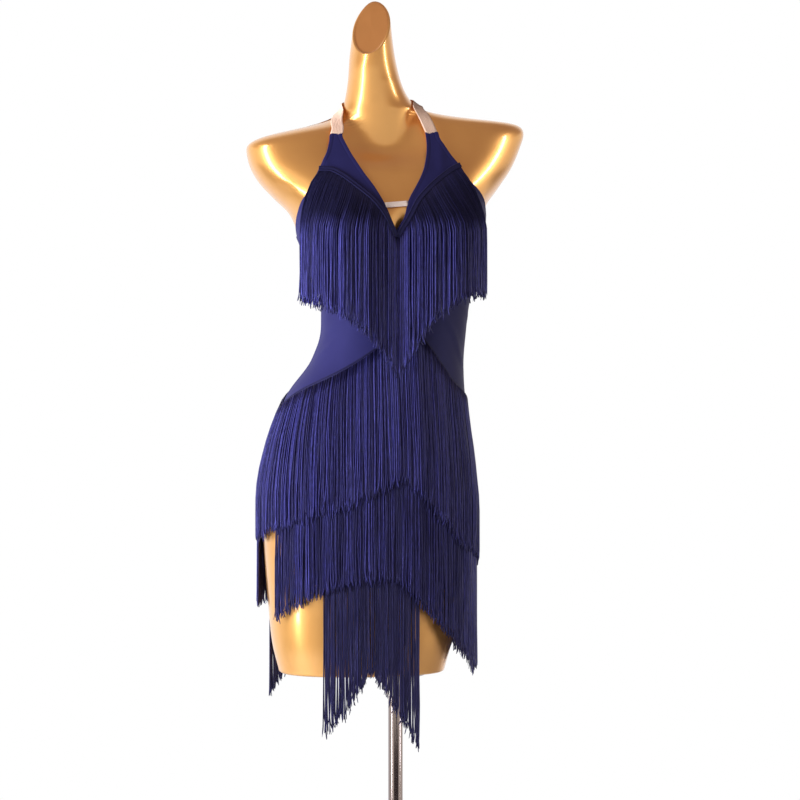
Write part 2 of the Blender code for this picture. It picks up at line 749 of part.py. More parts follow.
def make_bridge_strap(parent):
    """A short flat strap across the neckline between the two halter panels."""
    angles = np.linspace(BRIDGE_STRAP["right"], BRIDGE_STRAP["left"], BRIDGE_COLUMNS)
    tilt = np.linspace(0, BRIDGE_STRAP["rise"], BRIDGE_COLUMNS)
    half = BRIDGE_STRAP["height"] / 2
    levels = BRIDGE_STRAP["level"] + tilt[None, :] + np.array([half, 0.0, -half])[:, None]
    grid = figure_point(angles[None, :], levels, CLOTH_GAP)
    add_sheet("bridge_strap", grid, CLOTH_WALL, "nude_elastic", parent)


def make_trim(name, row, parent):
    """One row of trim: the tape along its line, and under it the plain solid that its strands fill."""
    keys = np.array(row["line"])[:, 0]
    angles = np.linspace(keys[0] + SEAM_ANGLE, keys[-1] - SEAM_ANGLE, row["columns"])
    level, half_height = tape_line(row, angles)
    levels = level[None, :] + np.array([1.0, -1.0])[:, None] * half_height[None, :]
    tape = figure_point(angles[None, :], levels, row["tape_out"])
    add_sheet("tape_" + name, tape, TAPE_WALL, "navy_stretch", parent)
    add_sheet("fringe_" + name, hanging_paths(row, angles), FRINGE_WALL, "navy_fringe", parent)


def main():
    """Clear the scene and make the stand, the form, the panels, the straps and the rows of trim."""
    for thing in list(bpy.data.objects):
        bpy.data.objects.remove(thing, do_unlink=True)
    root = bpy.data.objects.new("latin_dance_dress_root", None)
    parent_collection().objects.link(root)
    make_stand(root)
    make_form(root)
    make_body_and_skirt(root)
    make_neck_strap(root)
    make_bridge_strap(root)
    for name, row in FRINGE_ROWS.items():
        make_trim(name, row, root)


main()
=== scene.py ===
# %% [markdown]
# # A latin dance dress on a gold dress form
#
# The dress is a halter-neck stretch bodice and a short skirt, covered by eight rows of long fringe.
# It hangs on a glossy dress form with no head and no limbs, on a pole stand. This lesson builds
# the visible surfaces: one smooth figure is written as a formula, and every panel, tape and strand
# is placed on it by an angle round the body and a height, as a cutter places a pattern on a dummy.

import bpy
import mathutils
import numpy as np
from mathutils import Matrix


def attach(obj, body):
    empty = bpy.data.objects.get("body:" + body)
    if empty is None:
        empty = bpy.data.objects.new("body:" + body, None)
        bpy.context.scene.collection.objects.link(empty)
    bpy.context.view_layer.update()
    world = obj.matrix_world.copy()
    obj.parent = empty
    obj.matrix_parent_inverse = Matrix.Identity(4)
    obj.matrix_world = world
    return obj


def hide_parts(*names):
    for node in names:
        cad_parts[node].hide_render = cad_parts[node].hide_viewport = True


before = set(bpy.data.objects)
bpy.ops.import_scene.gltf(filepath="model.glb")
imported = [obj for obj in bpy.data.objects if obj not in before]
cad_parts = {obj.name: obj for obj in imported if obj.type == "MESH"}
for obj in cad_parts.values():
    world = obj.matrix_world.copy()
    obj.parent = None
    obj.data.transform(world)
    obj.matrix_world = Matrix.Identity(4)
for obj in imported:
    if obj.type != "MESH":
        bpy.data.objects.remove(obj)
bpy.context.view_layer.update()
random = np.random.default_rng(20)
print("CAD nodes:", len(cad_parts))

# %% [markdown]
# ## The figure
#
# A dress form is a stack of rounded sections. Each row of the table is one section: its height, how
# far it reaches to the right, left, front and back in millimetres, how square it is, and how far it
# tilts sideways, because this form stands with one hip out and the opposite shoulder up. Another
# way is to sculpt the body by hand, but a table stays easy to correct, and cloth can be laid on it
# exactly.

# %% The table of sections
SECTION_COLUMNS = ("level", "x_right", "x_left", "y_front", "y_back", "power", "tilt")
FIGURE_SECTIONS = (
    (0.632, -181, 74, -94, 94, 2.2, 0.000),
    (0.680, -192, 88, -100, 104, 2.2, 0.000),
    (0.740, -198, 102, -104, 112, 2.2, -0.020),
    (0.810, -203, 114, -106, 120, 2.2, -0.040),
    (0.895, -206, 122, -107, 128, 2.2, -0.060),
    (0.970, -194, 116, -105, 120, 2.2, -0.060),
    (1.050, -166, 106, -98, 103, 2.15, -0.050),
    (1.110, -127, 102, -90, 88, 2.1, -0.030),
    (1.160, -113, 106, -85, 80, 2.1, -0.010),
    (1.200, -113, 111, -85, 78, 2.1, 0.000),
    (1.250, -132, 125, -92, 82, 2.1, 0.000),
    (1.300, -150, 134, -98, 90, 2.15, 0.010),
    (1.340, -164, 137, -100, 97, 2.2, 0.030),
    (1.370, -189, 160, -95, 101, 2.3, 0.050),
    (1.400, -213, 183, -88, 102, 2.5, 0.060),
    (1.430, -227, 198, -76, 98, 2.6, 0.065),
    (1.455, -231, 206, -66, 90, 2.5, 0.065),
    (1.470, -204, 196, -60, 84, 2.3, 0.065),
    (1.482, -126, 116, -56, 76, 2.1, 0.060),
    (1.498, -85, 43, -52, 62, 2.0, 0.040),
    (1.516, -79, 20, -51, 52, 2.0, 0.020),
    (1.545, -75, 6, -50, 44, 2.0, 0.000),
    (1.600, -73, -5, -49, 38, 2.0, 0.000),
    (1.660, -68, -11, -47, 34, 2.0, 0.000),
)
BUST = {"angle": 36.0, "level": 1.315, "reach": 0.040, "spread": 27.0, "height": 0.052}
BUST_SIDEWAYS = 0.35
STEEPEST = 0.35
NECK_START = 1.540
NECK_CUT = {"level": 1.627, "rise_back": 0.98, "rise_left": 0.75}
FORM_BOTTOM = 0.632
FORM_TOP = 1.660
MILLIMETRE = 0.001


def smooth_table(values, keys, entries):
    """A table read between its rows on a cubic that never overshoots a row.

    The slope at a row is the harmonic mean of the slopes on its two sides, or 0 where they differ
    in sign, and Hermite's four polynomials join the rows.
    """
    keys = np.asarray(keys, float)
    entries = np.asarray(entries, float)
    values = np.clip(values, keys[0], keys[-1])
    cell = np.clip(np.searchsorted(keys, values, side="right") - 1, 0, len(keys) - 2)
    width = np.diff(keys)
    slope = np.diff(entries) / width
    before = slope[:-1]
    after = slope[1:]
    same_way = before * after > 0
    total = np.where(same_way, before + after, 1.0)
    tangent = np.empty(len(keys))
    tangent[0] = slope[0]
    tangent[-1] = slope[-1]
    tangent[1:-1] = np.where(same_way, 2 * before * after / total, 0.0)
    t = (values - keys[cell]) / width[cell]
    start = (2 * t**3 - 3 * t**2 + 1) * entries[cell]
    end = (3 * t**2 - 2 * t**3) * entries[cell + 1]
    leave = (t**3 - 2 * t**2 + t) * width[cell] * tangent[cell]
    arrive = (t**3 - t**2) * width[cell] * tangent[cell + 1]
    return start + end + leave + arrive


def eased(share):
    """The curve 3 t^2 - 2 t^3, which rises from 0 to 1 and is level at both ends."""
    share = np.clip(share, 0.0, 1.0)
    return share * share * (3 - 2 * share)


def unit(vectors):
    """Vectors scaled to length 1."""
    return vectors / np.linalg.norm(vectors, axis=-1, keepdims=True)


def run_length(points, axis=0):
    """The distance along each line of an array of points, from the line's first point."""
    steps = np.linalg.norm(np.diff(points, axis=axis), axis=-1)
    start = np.zeros_like(np.take(steps, [0], axis=axis))
    return np.concatenate([start, np.cumsum(steps, axis=axis)], axis=axis)


# %% [markdown]
# Gloss shows every change of curvature as a kink in a reflection. So the table is read every
# millimetre and averaged with a bell curve a few millimetres wide before anything is built on it.

# %% A fine, smoothed copy of the table
SMOOTHING = 4.0
BELL_REACH = 16
FINE_STEP = 0.001
BEYOND_ENDS = 0.02
fine_end = FORM_TOP + BEYOND_ENDS + FINE_STEP / 10
fine_levels = np.arange(FORM_BOTTOM - BEYOND_ENDS, fine_end, FINE_STEP)
bell_offsets = np.arange(-BELL_REACH, BELL_REACH + 1)
bell = np.exp(-((bell_offsets / SMOOTHING) ** 2) / 2)
bell /= bell.sum()
section_keys = np.array(FIGURE_SECTIONS).T[0]
fine_sections = {}
for name, entries in zip(SECTION_COLUMNS[1:], np.array(FIGURE_SECTIONS).T[1:]):
    column = smooth_table(fine_levels, section_keys, entries)
    padded = np.pad(column, BELL_REACH, mode="edge")
    scale = MILLIMETRE if name[1] == "_" else 1.0
    fine_sections[name] = np.convolve(padded, bell, mode="valid") * scale
print("section table:", len(FIGURE_SECTIONS), "rows read at", len(fine_levels), "levels")

# %% The surface of the figure
# The surface's formula is undone by correcting a first guess, this many times.
LEVEL_ROUNDS = 4
ANGLE_ROUNDS = 6


def section(name, level):
    """One column of the smoothed table at any level, in metres for widths and depths."""
    return np.interp(level, fine_levels, fine_sections[name])


def middle_and_half(low, high, level):
    """The middle of a section and half its size, from its columns for the low and the high side."""
    low, high = section(low, level), section(high, level)
    return (low + high) / 2, (high - low) / 2


def bust_reach(angle, level):
    """Two bell-shaped mounds: reach * exp(-(angle from its middle)^2) * exp(-(height from it)^2)."""
    turn = (angle + 180.0) % 360.0 - 180.0
    off_middles = [(turn - side * BUST["angle"]) / BUST["spread"] for side in (-1, 1)]
    mounds = sum(np.exp(-(off**2)) for off in off_middles)
    return BUST["reach"] * mounds * np.exp(-(((level - BUST["level"]) / BUST["height"]) ** 2))


def squared_off(value, power):
    """A value raised to a power with its sign kept."""
    return np.sign(value) * np.abs(value) ** power


def bare_point(angle, level):
    """The figure at an angle (0 in front, 90 at the wearer's left) and a level.

    x = middle + half_width sign(s) |s|^(2/power) + 0.35 bust s and y = middle - half_depth sign(c)
    |c|^(2/power) - bust c, where s and c are the angle's sine and cosine. z is the level, tilted
    sideways, and on the neck it leans until the top ring lies in the slanted neck cut.
    """
    angle, level = np.broadcast_arrays(np.asarray(angle, float), np.asarray(level, float))
    middle_x, half_width = middle_and_half("x_right", "x_left", level)
    middle_y, half_depth = middle_and_half("y_front", "y_back", level)
    power = 2 / section("power", level)
    across = np.sin(np.radians(angle))
    ahead = np.cos(np.radians(angle))
    bust = bust_reach(angle, level)
    x = middle_x + half_width * squared_off(across, power) + BUST_SIDEWAYS * bust * across
    y = middle_y - half_depth * squared_off(ahead, power) - bust * ahead
    z = level + section("tilt", level) * (x - middle_x)
    lean = np.clip((level - NECK_START) / (FORM_TOP - NECK_START), 0, 1)
    rise = NECK_CUT["rise_back"] * (y - middle_y) + NECK_CUT["rise_left"] * (x - middle_x)
    z = np.where(lean > 0, NECK_START + lean * (NECK_CUT["level"] + rise - NECK_START), z)
    return np.stack([x, y, z], axis=-1)


def figure_normal(angle, level):
    """The outward unit normal: the cross product of a small step round and a small step up."""
    round_step = 0.5
    up_step = 0.0015
    along = bare_point(angle + round_step, level) - bare_point(angle - round_step, level)
    up = bare_point(angle, level + up_step) - bare_point(angle, level - up_step)
    return unit(np.cross(along, up))


def figure_point(angle, level, out=0.0):
    """The figure's surface moved out along its normal."""
    angle, level = np.broadcast_arrays(np.asarray(angle, float), np.asarray(level, float))
    return bare_point(angle, level) + figure_normal(angle, level) * np.asarray(out)[..., None]


def level_outward(normal):
    """A normal's direction seen from above, and how much of the normal is level."""
    flat = normal[..., :2]
    reach = np.linalg.norm(flat, axis=-1)
    return flat / reach[..., None], np.maximum(reach, STEEPEST)


def beside_figure(angle, level, out):
    """A point out from the surface and level with it, so that a hanging strand keeps its height."""
    angle, level = np.broadcast_arrays(np.asarray(angle, float), np.asarray(level, float))
    outward, reach = level_outward(figure_normal(angle, level))
    point = bare_point(angle, level)
    point[..., :2] += outward * (np.asarray(out) / reach)[..., None]
    return point


def angle_and_level(point):
    """The angle and level that a point in space stands beside: the surface's formula, undone."""
    x, y, z = point[..., 0], point[..., 1], point[..., 2]
    level = z.copy()
    for _ in range(LEVEL_ROUNDS):
        middle_x = middle_and_half("x_right", "x_left", level)[0]
        level = z - section("tilt", level) * (x - middle_x)
    half_width = middle_and_half("x_right", "x_left", level)[1]
    middle_y, half_depth = middle_and_half("y_front", "y_back", level)
    power = section("power", level) / 2
    angle = np.degrees(np.arctan2(x - middle_x, middle_y - y))
    for _ in range(ANGLE_ROUNDS):
        bust = bust_reach(angle, level)
        across = (x - middle_x - BUST_SIDEWAYS * bust * np.sin(np.radians(angle))) / half_width
        ahead = (middle_y - y - bust * np.cos(np.radians(angle))) / half_depth
        angle = np.degrees(np.arctan2(squared_off(across, power), squared_off(ahead, power)))
    return angle, level


def beside_and_above(point):
    """The figure's normal beside a point, and the point's distance along that normal."""
    angle, level = angle_and_level(point)
    normal = figure_normal(angle, level)
    return normal, np.sum((point - bare_point(angle, level)) * normal, axis=-1)


def push_clear(point, out):
    """Points nearer to the figure than out, slid out level until they are clear of it."""
    normal, stands_off = beside_and_above(point)
    outward, reach = level_outward(normal)
    short = np.clip(out - stands_off, 0, None) / reach
    moved = point.copy()
    moved[..., :2] += outward * short[..., None]
    return moved


form_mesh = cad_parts["form_torso"].data
cad_form = np.empty(len(form_mesh.vertices) * 3)
form_mesh.vertices.foreach_get("co", cad_form)
cad_form = cad_form.reshape(-1, 3)
on_wall = (cad_form[:, 2] > FORM_BOTTOM + 0.02) & (cad_form[:, 2] < NECK_START - 0.01)
gap = beside_and_above(cad_form[on_wall])[1]
most = round(float(np.abs(gap).max()) * 1000, 2)
print("smoothed figure and CAD form differ by at most", most, "mm")

# %% [markdown]
# ## Meshes from grids
#
# A grid of points becomes a surface by joining each point to its right and lower neighbours. Cloth
# is given its two faces here, an outer and an inner grid joined by a lip round the edge, so that a
# hem can be a little thicker than the cloth, which a plain Solidify modifier would not do.

# %% Helpers that turn grids into meshes
LIP_REACH = 0.45


def grid_quads(rows, columns, closed=False):
    """Corner numbers of the quads over a grid, top row first, facing out where columns go left."""
    across = np.arange(columns if closed else columns - 1)
    row, column = np.meshgrid(np.arange(rows - 1), across, indexing="ij")
    here, beside = row * columns + column, row * columns + (column + 1) % columns
    return np.stack([here, here + columns, beside + columns, beside], axis=-1).reshape(-1, 4)


def put_mesh(name, points, quads, triangles=None, uv=None, attributes=None):
    """A smooth mesh object from arrays of points and faces, with a UV map and point attributes."""
    triangles = np.empty((0, 3), int) if triangles is None else triangles
    mesh = bpy.data.meshes.new(name)
    points = np.asarray(points, np.float32).reshape(-1, 3)
    corners = np.concatenate([quads.ravel(), triangles.ravel()]).astype(np.int32)
    sizes = np.concatenate([np.full(len(quads), 4), np.full(len(triangles), 3)])
    starts = np.concatenate([[0], np.cumsum(sizes)[:-1]]).astype(np.int32)
    mesh.vertices.add(len(points))
    mesh.vertices.foreach_set("co", points.ravel())
    mesh.loops.add(len(corners))
    mesh.loops.foreach_set("vertex_index", corners)
    mesh.polygons.add(len(sizes))
    mesh.polygons.foreach_set("loop_start", starts)
    mesh.update(calc_edges=True)
    mesh.validate()
    mesh.shade_smooth()
    if uv is not None:
        layer = mesh.uv_layers.new(name="cut")
        layer.data.foreach_set("uv", np.asarray(uv, np.float32).reshape(-1, 2)[corners].ravel())
    for key, values in (attributes or {}).items():
        attribute = mesh.attributes.new(name=key, type="FLOAT", domain="POINT")
        attribute.data.foreach_set("value", np.asarray(values, np.float32).ravel())
    piece = bpy.data.objects.new(name, mesh)
    bpy.context.scene.collection.objects.link(piece)
    return piece


def put_capped(name, grid, ends, uv=None, turned_over=False):
    """A grid that closes on itself round each row, with a fan of triangles over each end."""
    rows, columns = grid.shape[:2]
    count = rows * columns
    number = np.arange(columns)
    beside = (number + 1) % columns
    last = count - columns
    first_end = np.stack([number, beside, np.full(columns, count)], axis=-1)
    last_end = np.stack([last + beside, last + number, np.full(columns, count + 1)], axis=-1)
    quads, caps = grid_quads(rows, columns, closed=True), np.concatenate([first_end, last_end])
    if turned_over:
        quads, caps = quads[:, ::-1], caps[:, ::-1]
    return put_mesh(name, np.concatenate([grid.reshape(-1, 3), ends]), quads, caps, uv=uv)


def finish_piece(piece, material, slot, *nodes):
    """Give a piece its material and let it stand for the named CAD nodes, which are hidden; slot is
    not used.
    """
    piece.data.materials.append(material)
    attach(piece, "root")
    if nodes:
        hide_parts(*nodes)
    triangles = sum(len(face.vertices) - 2 for face in piece.data.polygons)
    print(piece.name, "has", triangles, "triangles")
    return piece


def rim_path(rows, columns):
    """Point numbers round the edge of a grid: along the top, down, back along the bottom and up."""
    top = np.arange(columns)
    right = np.arange(1, rows) * columns + columns - 1
    bottom = (rows - 1) * columns + np.arange(columns - 2, -1, -1)
    left = np.arange(rows - 2, 0, -1) * columns
    return np.concatenate([top, right, bottom, left])


def thin_shell(name, inner, outer, uv):
    """Cloth with two faces: an inner and an outer grid of one shape and a rounded lip between."""
    rows, columns = outer.shape[:2]
    count = rows * columns
    rim = rim_path(rows, columns)
    flat_outer = outer.reshape(-1, 3)
    flat_inner = inner.reshape(-1, 3)
    row, column = np.divmod(rim, columns)
    inside = np.clip(row, 1, rows - 2) * columns + np.clip(column, 1, columns - 2)
    away = unit(flat_outer[rim] - flat_outer[inside])
    wall = np.linalg.norm(flat_outer[rim] - flat_inner[rim], axis=-1, keepdims=True)
    lip = (flat_outer[rim] + flat_inner[rim]) / 2 + away * wall * LIP_REACH
    points = np.concatenate([flat_outer, flat_inner, lip])
    face = grid_quads(rows, columns)
    lip_number = 2 * count + np.arange(len(rim))
    after = np.roll(np.arange(len(rim)), -1)
    front = np.stack([rim, rim[after], lip_number[after], lip_number], axis=-1)
    behind = np.stack([lip_number, lip_number[after], rim[after] + count, rim + count], axis=-1)
    quads = np.concatenate([face, face[:, ::-1] + count, front, behind])
    flat_uv = uv.reshape(-1, 2)
    return put_mesh(name, points, quads, uv=np.concatenate([flat_uv, flat_uv, flat_uv[rim]]))


# %% [markdown]
# ## Shader groups
#
# Several finishes share an effect: fine knit loops on every stretch panel, broad uneven tone on
# cloth and paint. Each effect is a node group with named inputs, built once. A group only puts out
# masks, values, colours or normals; each material keeps its own Principled shader.

# %% Node helpers


def feed(tree, socket, value):
    """Fill an input: link it from a socket, or set it to a plain value."""
    if isinstance(value, bpy.types.NodeSocket):
        tree.links.new(value, socket)
    else:
        socket.default_value = value


def add_node(tree, kind, **settings):
    """A node of a kind, with its properties set by name and its inputs filled by label."""
    node = tree.nodes.new("ShaderNode" + kind)
    for key, value in settings.items():
        if hasattr(node, key):
            setattr(node, key, value)
        else:
            feed(tree, node.inputs[key.replace("_", " ")], value)
    return node


def math_node(tree, operation, *values):
    """One Math node: its inputs are sockets to link or plain numbers."""
    node = add_node(tree, "Math", operation=operation)
    for socket, value in zip(node.inputs, values):
        feed(tree, socket, value)
    return node.outputs[0]


def mix_node(tree, factor, first, second, blend="MIX"):
    """A Mix node for colours, whose two colour inputs are its sockets 6 and 7."""
    node = add_node(tree, "Mix", data_type="RGBA", blend_type=blend, Factor=factor)
    feed(tree, node.inputs[6], first)
    feed(tree, node.inputs[7], second)
    return node.outputs[2]


def smooth_range(tree, value, start, end, first=0.0, last=1.0):
    """A Map Range node that eases from first to last while the value goes from start to end."""
    limits = {"From_Min": start, "From_Max": end, "To_Min": first, "To_Max": last}
    node = add_node(tree, "MapRange", interpolation_type="SMOOTHSTEP", Value=value, **limits)
    return node.outputs["Result"]


def add_bump(tree, shader, height, strength, distance):
    """Bend a shader's normal by a height."""
    bump = add_node(tree, "Bump", Height=height, Strength=strength, Distance=distance)
    tree.links.new(bump.outputs["Normal"], shader.inputs["Normal"])


def ramp_node(tree, factor, stops, blend="LINEAR"):
    """A Color Ramp fed by a value; stops are (position, colour)."""
    node = add_node(tree, "ValToRGB")
    node.color_ramp.interpolation = blend
    elements = node.color_ramp.elements
    while len(elements) < len(stops):
        elements.new(0.5)
    for element, (position, colour) in zip(elements, stops):
        element.position = position
        element.color = (*colour, 1.0)
    tree.links.new(factor, node.inputs["Fac"])
    return node.outputs["Color"]


def new_group(name, inputs, output):
    """A shader group: inputs {label: default, or None for a vector} and one output, a number."""
    group = bpy.data.node_groups.new(name, "ShaderNodeTree")
    for label, default in inputs.items():
        kind = "NodeSocketVector" if default is None else "NodeSocketFloat"
        socket = group.interface.new_socket(label, in_out="INPUT", socket_type=kind)
        if default is not None:
            socket.default_value = default
    group.interface.new_socket(output, in_out="OUTPUT", socket_type="NodeSocketFloat")
    given = group.nodes.new("NodeGroupInput").outputs
    return group, given, group.nodes.new("NodeGroupOutput").inputs[output]


def use_group(tree, group, vector, **values):
    """Place a group in a material's tree, fed with a vector and values, and return its output."""
    node = tree.nodes.new("ShaderNodeGroup")
    node.node_tree = group
    for key, value in {"Vector": vector, **values}.items():
        feed(tree, node.inputs[key], value)
    return node.outputs[0]


def new_finish(name, **settings):
    """A material with one Principled shader, its sockets set by label; returns its tree too."""
    material = bpy.data.materials.new(name)
    material.use_nodes = True
    shader = material.node_tree.nodes["Principled BSDF"]
    for key, value in settings.items():
        shader.inputs[key.replace("_", " ")].default_value = value
    material.diffuse_color = shader.inputs["Base Color"].default_value
    return material, material.node_tree, shader


def object_place(tree):
    """The Object coordinates, which are the same on every piece because each sits at the origin."""
    return add_node(tree, "TexCoord").outputs["Object"]


def own_map(tree):
    """The piece's own flat map, in metres along its cut."""
    return add_node(tree, "UVMap", uv_map="cut").outputs["UV"]


def own_value(tree, name):
    """A number stored on the piece's points."""
    return add_node(tree, "Attribute", attribute_name=name).outputs["Fac"]


# %% The group for broad, uneven tone


def make_tone_group():
    """Two sizes of noise mixed to a Tone of about 0 to 1: coarse at Size, fine at 8 times that."""
    group, given, end = new_group("uneven_tone", {"Vector": None, "Size": 6.0}, "Tone")
    place, size = given["Vector"], given["Size"]
    coarse = add_node(group, "TexNoise", Vector=place, Scale=size, Detail=3.0, Roughness=0.55)
    fine_size = math_node(group, "MULTIPLY", size, 8.0)
    fine = add_node(group, "TexNoise", Vector=place, Scale=fine_size, Detail=2.0, Roughness=0.5)
    share = math_node(group, "MULTIPLY", fine.outputs["Fac"], 0.35)
    feed(group, end, math_node(group, "MULTIPLY_ADD", coarse.outputs["Fac"], 0.65, share))
    return group


uneven_tone = make_tone_group()

# %% The group for fine knit loops


def make_knit_group():
    """Rows of small loops as a height: |sin(columns)| (1 + sin(rows + 1.2 |sin(columns)|)) / 2."""
    inputs = {"Vector": None, "Across": 9000.0, "Along": 7000.0}
    group, given, end = new_group("knit_loops", inputs, "Height")
    apart = add_node(group, "SeparateXYZ", Vector=given["Vector"]).outputs
    columns = math_node(group, "MULTIPLY", apart["X"], given["Across"])
    rows = math_node(group, "MULTIPLY", apart["Y"], given["Along"])
    ribs = math_node(group, "ABSOLUTE", math_node(group, "SINE", columns))
    slant = math_node(group, "ADD", rows, math_node(group, "MULTIPLY", ribs, 1.2))
    loops = math_node(group, "MULTIPLY_ADD", math_node(group, "SINE", slant), 0.5, 0.5)
    feed(group, end, math_node(group, "MULTIPLY", ribs, loops))
    return group


knit_loops = make_knit_group()

# %% [markdown]
# ## The dress form
#
# The form is moulded fibreglass under a gold lacquer: a warm metallic base with a clear coat that
# gives tight highlights and pale edges. The neck is sawn off at a slant and its cut face is duller.

# %% Gold lacquer


def make_gold(name, roughness, coat, dark, light):
    """A metallic base of slightly uneven tone and grain under a clear coat."""
    material, tree, shader = new_finish(
        name,
        Metallic=0.8,
        Coat_Weight=coat,
        Coat_Roughness=0.07,
        Coat_IOR=1.6,
        Coat_Tint=(1.0, 0.93, 0.90, 1.0),
    )
    place = object_place(tree)
    tone = use_group(tree, uneven_tone, place, Size=3.0)
    feed(tree, shader.inputs["Base Color"], ramp_node(tree, tone, ((0.3, dark), (0.7, light))))
    uneven = math_node(tree, "MULTIPLY_ADD", tone, 0.08, roughness - 0.04)
    feed(tree, shader.inputs["Roughness"], uneven)
    grain = add_node(tree, "TexNoise", Vector=place, Scale=420.0, Detail=2.0)
    add_bump(tree, shader, grain.outputs["Fac"], 0.03, 0.0004)
    return material


gold_lacquer = make_gold("gold_lacquer", 0.30, 0.8, (0.76, 0.410, 0.120), (0.86, 0.500, 0.155))
gold_cut = make_gold("gold_cut_face", 0.55, 0.1, (0.58, 0.27, 0.085), (0.66, 0.31, 0.105))

# %% The form's mesh
THROAT = {
    "middle": -0.031,
    "reach": 0.080,
    "depth": 0.026,
    "low": 1.392,
    "rise": 0.052,
    "root": 1.500,
    "softness": 0.004,
    "blend_in": 0.010,
    "blend_out": 0.020,
    "over_root": 0.008,
}
CLEFT = {
    "middle": -0.012,
    "half_width": 0.010,
    "depth": 0.005,
    "top": 1.352,
    "fade_top": 0.035,
    "low": 1.24,
    "fade_low": 0.04,
}
# Over this height above the bottom, the rings turn level, so that the form stands on a flat face.
FOOT_HEIGHT = 0.08
FORM_COLUMNS = 216
FORM_RINGS = 250
RIM_RADIUS = 0.004
RIM_STEPS = 6
FACE_RINGS = 10


def carve_throat(points):
    """Set the chest back below the neck, carry the neck's round front down, and hollow the cleft.

    The chest moves back by depth * bell(distance from the neck's middle), eased in over a height.
    The section of the neck at its root is carried straight down, y = middle - half_depth sqrt(1 -
    (u / half_width)^2), and the further forward of the two surfaces is kept, with the edge between
    them rounded: (a + b - sqrt((a - b)^2 + softness^2)) / 2.
    """
    x, y, z = points[..., 0], points[..., 1], points[..., 2]
    in_front = y < 0
    near = np.exp(-(((x - THROAT["middle"]) / THROAT["reach"]) ** 2)) * in_front
    set_back = y + THROAT["depth"] * near * eased((z - THROAT["low"]) / THROAT["rise"])
    root = THROAT["root"]
    middle_x, half_width = middle_and_half("x_right", "x_left", root)
    middle_y, half_depth = middle_and_half("y_front", "y_back", root)
    share = np.clip(np.abs(x - middle_x) / half_width, 0, 1)
    column = middle_y - half_depth * np.sqrt(1 - share**2)
    kept = (set_back + column - np.sqrt((set_back - column) ** 2 + THROAT["softness"] ** 2)) / 2
    blend_in = eased((z - THROAT["low"]) / THROAT["blend_in"])
    blend_out = eased((root + THROAT["over_root"] - z) / THROAT["blend_out"])
    blend = blend_in * blend_out * in_front
    y = y * (1 - blend) + kept * blend
    cleft = np.exp(-(((x - CLEFT["middle"]) / CLEFT["half_width"]) ** 2)) * (y < 0)
    below_top = eased((CLEFT["top"] - z) / CLEFT["fade_top"])
    y = y + CLEFT["depth"] * cleft * below_top * eased((z - CLEFT["low"]) / CLEFT["fade_low"])
    return np.stack([x, y, z], axis=-1)


def make_form():
    """Rings of the figure from its flat bottom to the neck cut, closed by small-radius rims.

    At each rim the ring is drawn in by radius * (1 - cos t) while it moves the last of the way by
    radius * sin t, which rounds the edge; then rings shrink towards the middle to close the face.
    """
    angles = np.linspace(0, 360, FORM_COLUMNS, endpoint=False)[None, :]
    wall = np.linspace(FORM_TOP - RIM_RADIUS, FORM_BOTTOM + RIM_RADIUS, FORM_RINGS)[:, None]
    turn = np.linspace(0, np.pi / 2, RIM_STEPS + 1)[1:, None]
    drawn_in = -RIM_RADIUS * (1 - np.cos(turn))
    low_levels = FORM_BOTTOM + RIM_RADIUS - RIM_RADIUS * np.sin(turn)
    top = figure_point(angles, FORM_TOP - RIM_RADIUS + RIM_RADIUS * np.sin(turn), drawn_in)[::-1]
    low = figure_point(angles, low_levels, drawn_in)
    low[..., 2] = low_levels
    middle = carve_throat(figure_point(angles, wall, 0.0))
    settle = eased((FORM_BOTTOM + FOOT_HEIGHT - middle[..., 2]) / FOOT_HEIGHT)
    middle[..., 2] = middle[..., 2] * (1 - settle) + wall * settle
    rings = np.concatenate([top, middle, low])
    shrink = np.linspace(1, 0, FACE_RINGS + 2)[1:-1, None, None]
    ends = rings[[0, -1]].mean(axis=1)
    cut_face = ends[0] + (rings[0] - ends[0]) * shrink[::-1]
    bottom_face = ends[1] + (rings[-1] - ends[1]) * shrink
    grid = np.concatenate([cut_face, rings, bottom_face])
    piece = put_capped("dress_form", grid, ends)
    finish_piece(piece, gold_lacquer, "gold_paint", "form_torso")
    piece.data.materials.append(gold_cut)
    round_quads = (len(grid) - 1) * FORM_COLUMNS
    on_cut = np.zeros(len(piece.data.polygons), np.int32)
    on_cut[: (FACE_RINGS + 1) * FORM_COLUMNS] = 1
    on_cut[round_quads : round_quads + FORM_COLUMNS] = 1
    piece.data.polygons.foreach_set("material_index", on_cut)


make_form()

# %% [markdown]
# ## The stretch panels
#
# The bodice sides, midriff, back and skirt are stretch knit, cut close and held by the body. Each
# panel is a patch of the figure between four edges, moved out by the cloth's own clearance. Free
# edges are turned under and stitched, so they are a little thicker with a groove at the stitch
# line; sewn edges dip into the seam. A few long, soft creases are placed where a halter pulls.
# Cloth simulation would give the same close fit for far more time, so it isn't used.

# %% Cloth finishes, and the navy stretch knit


def make_cloth(name, tone_size, knit, share, stops, bump, **settings):
    """Knit or braid: loops and broad tone mixed into a colour ramp, and the loops raised as a bump.

    knit holds the loops' scales, share is the loops' part of the mix, bump is (strength, distance).
    """
    material, tree, shader = new_finish(name, Roughness=0.60, **settings)
    tone = use_group(tree, uneven_tone, object_place(tree), Size=tone_size)
    loops = use_group(tree, knit_loops, own_map(tree), **knit)
    toned = math_node(tree, "MULTIPLY", tone, 1 - share)
    mixed = math_node(tree, "MULTIPLY_ADD", loops, share, toned)
    feed(tree, shader.inputs["Base Color"], ramp_node(tree, mixed, stops))
    add_bump(tree, shader, loops, *bump)
    return material


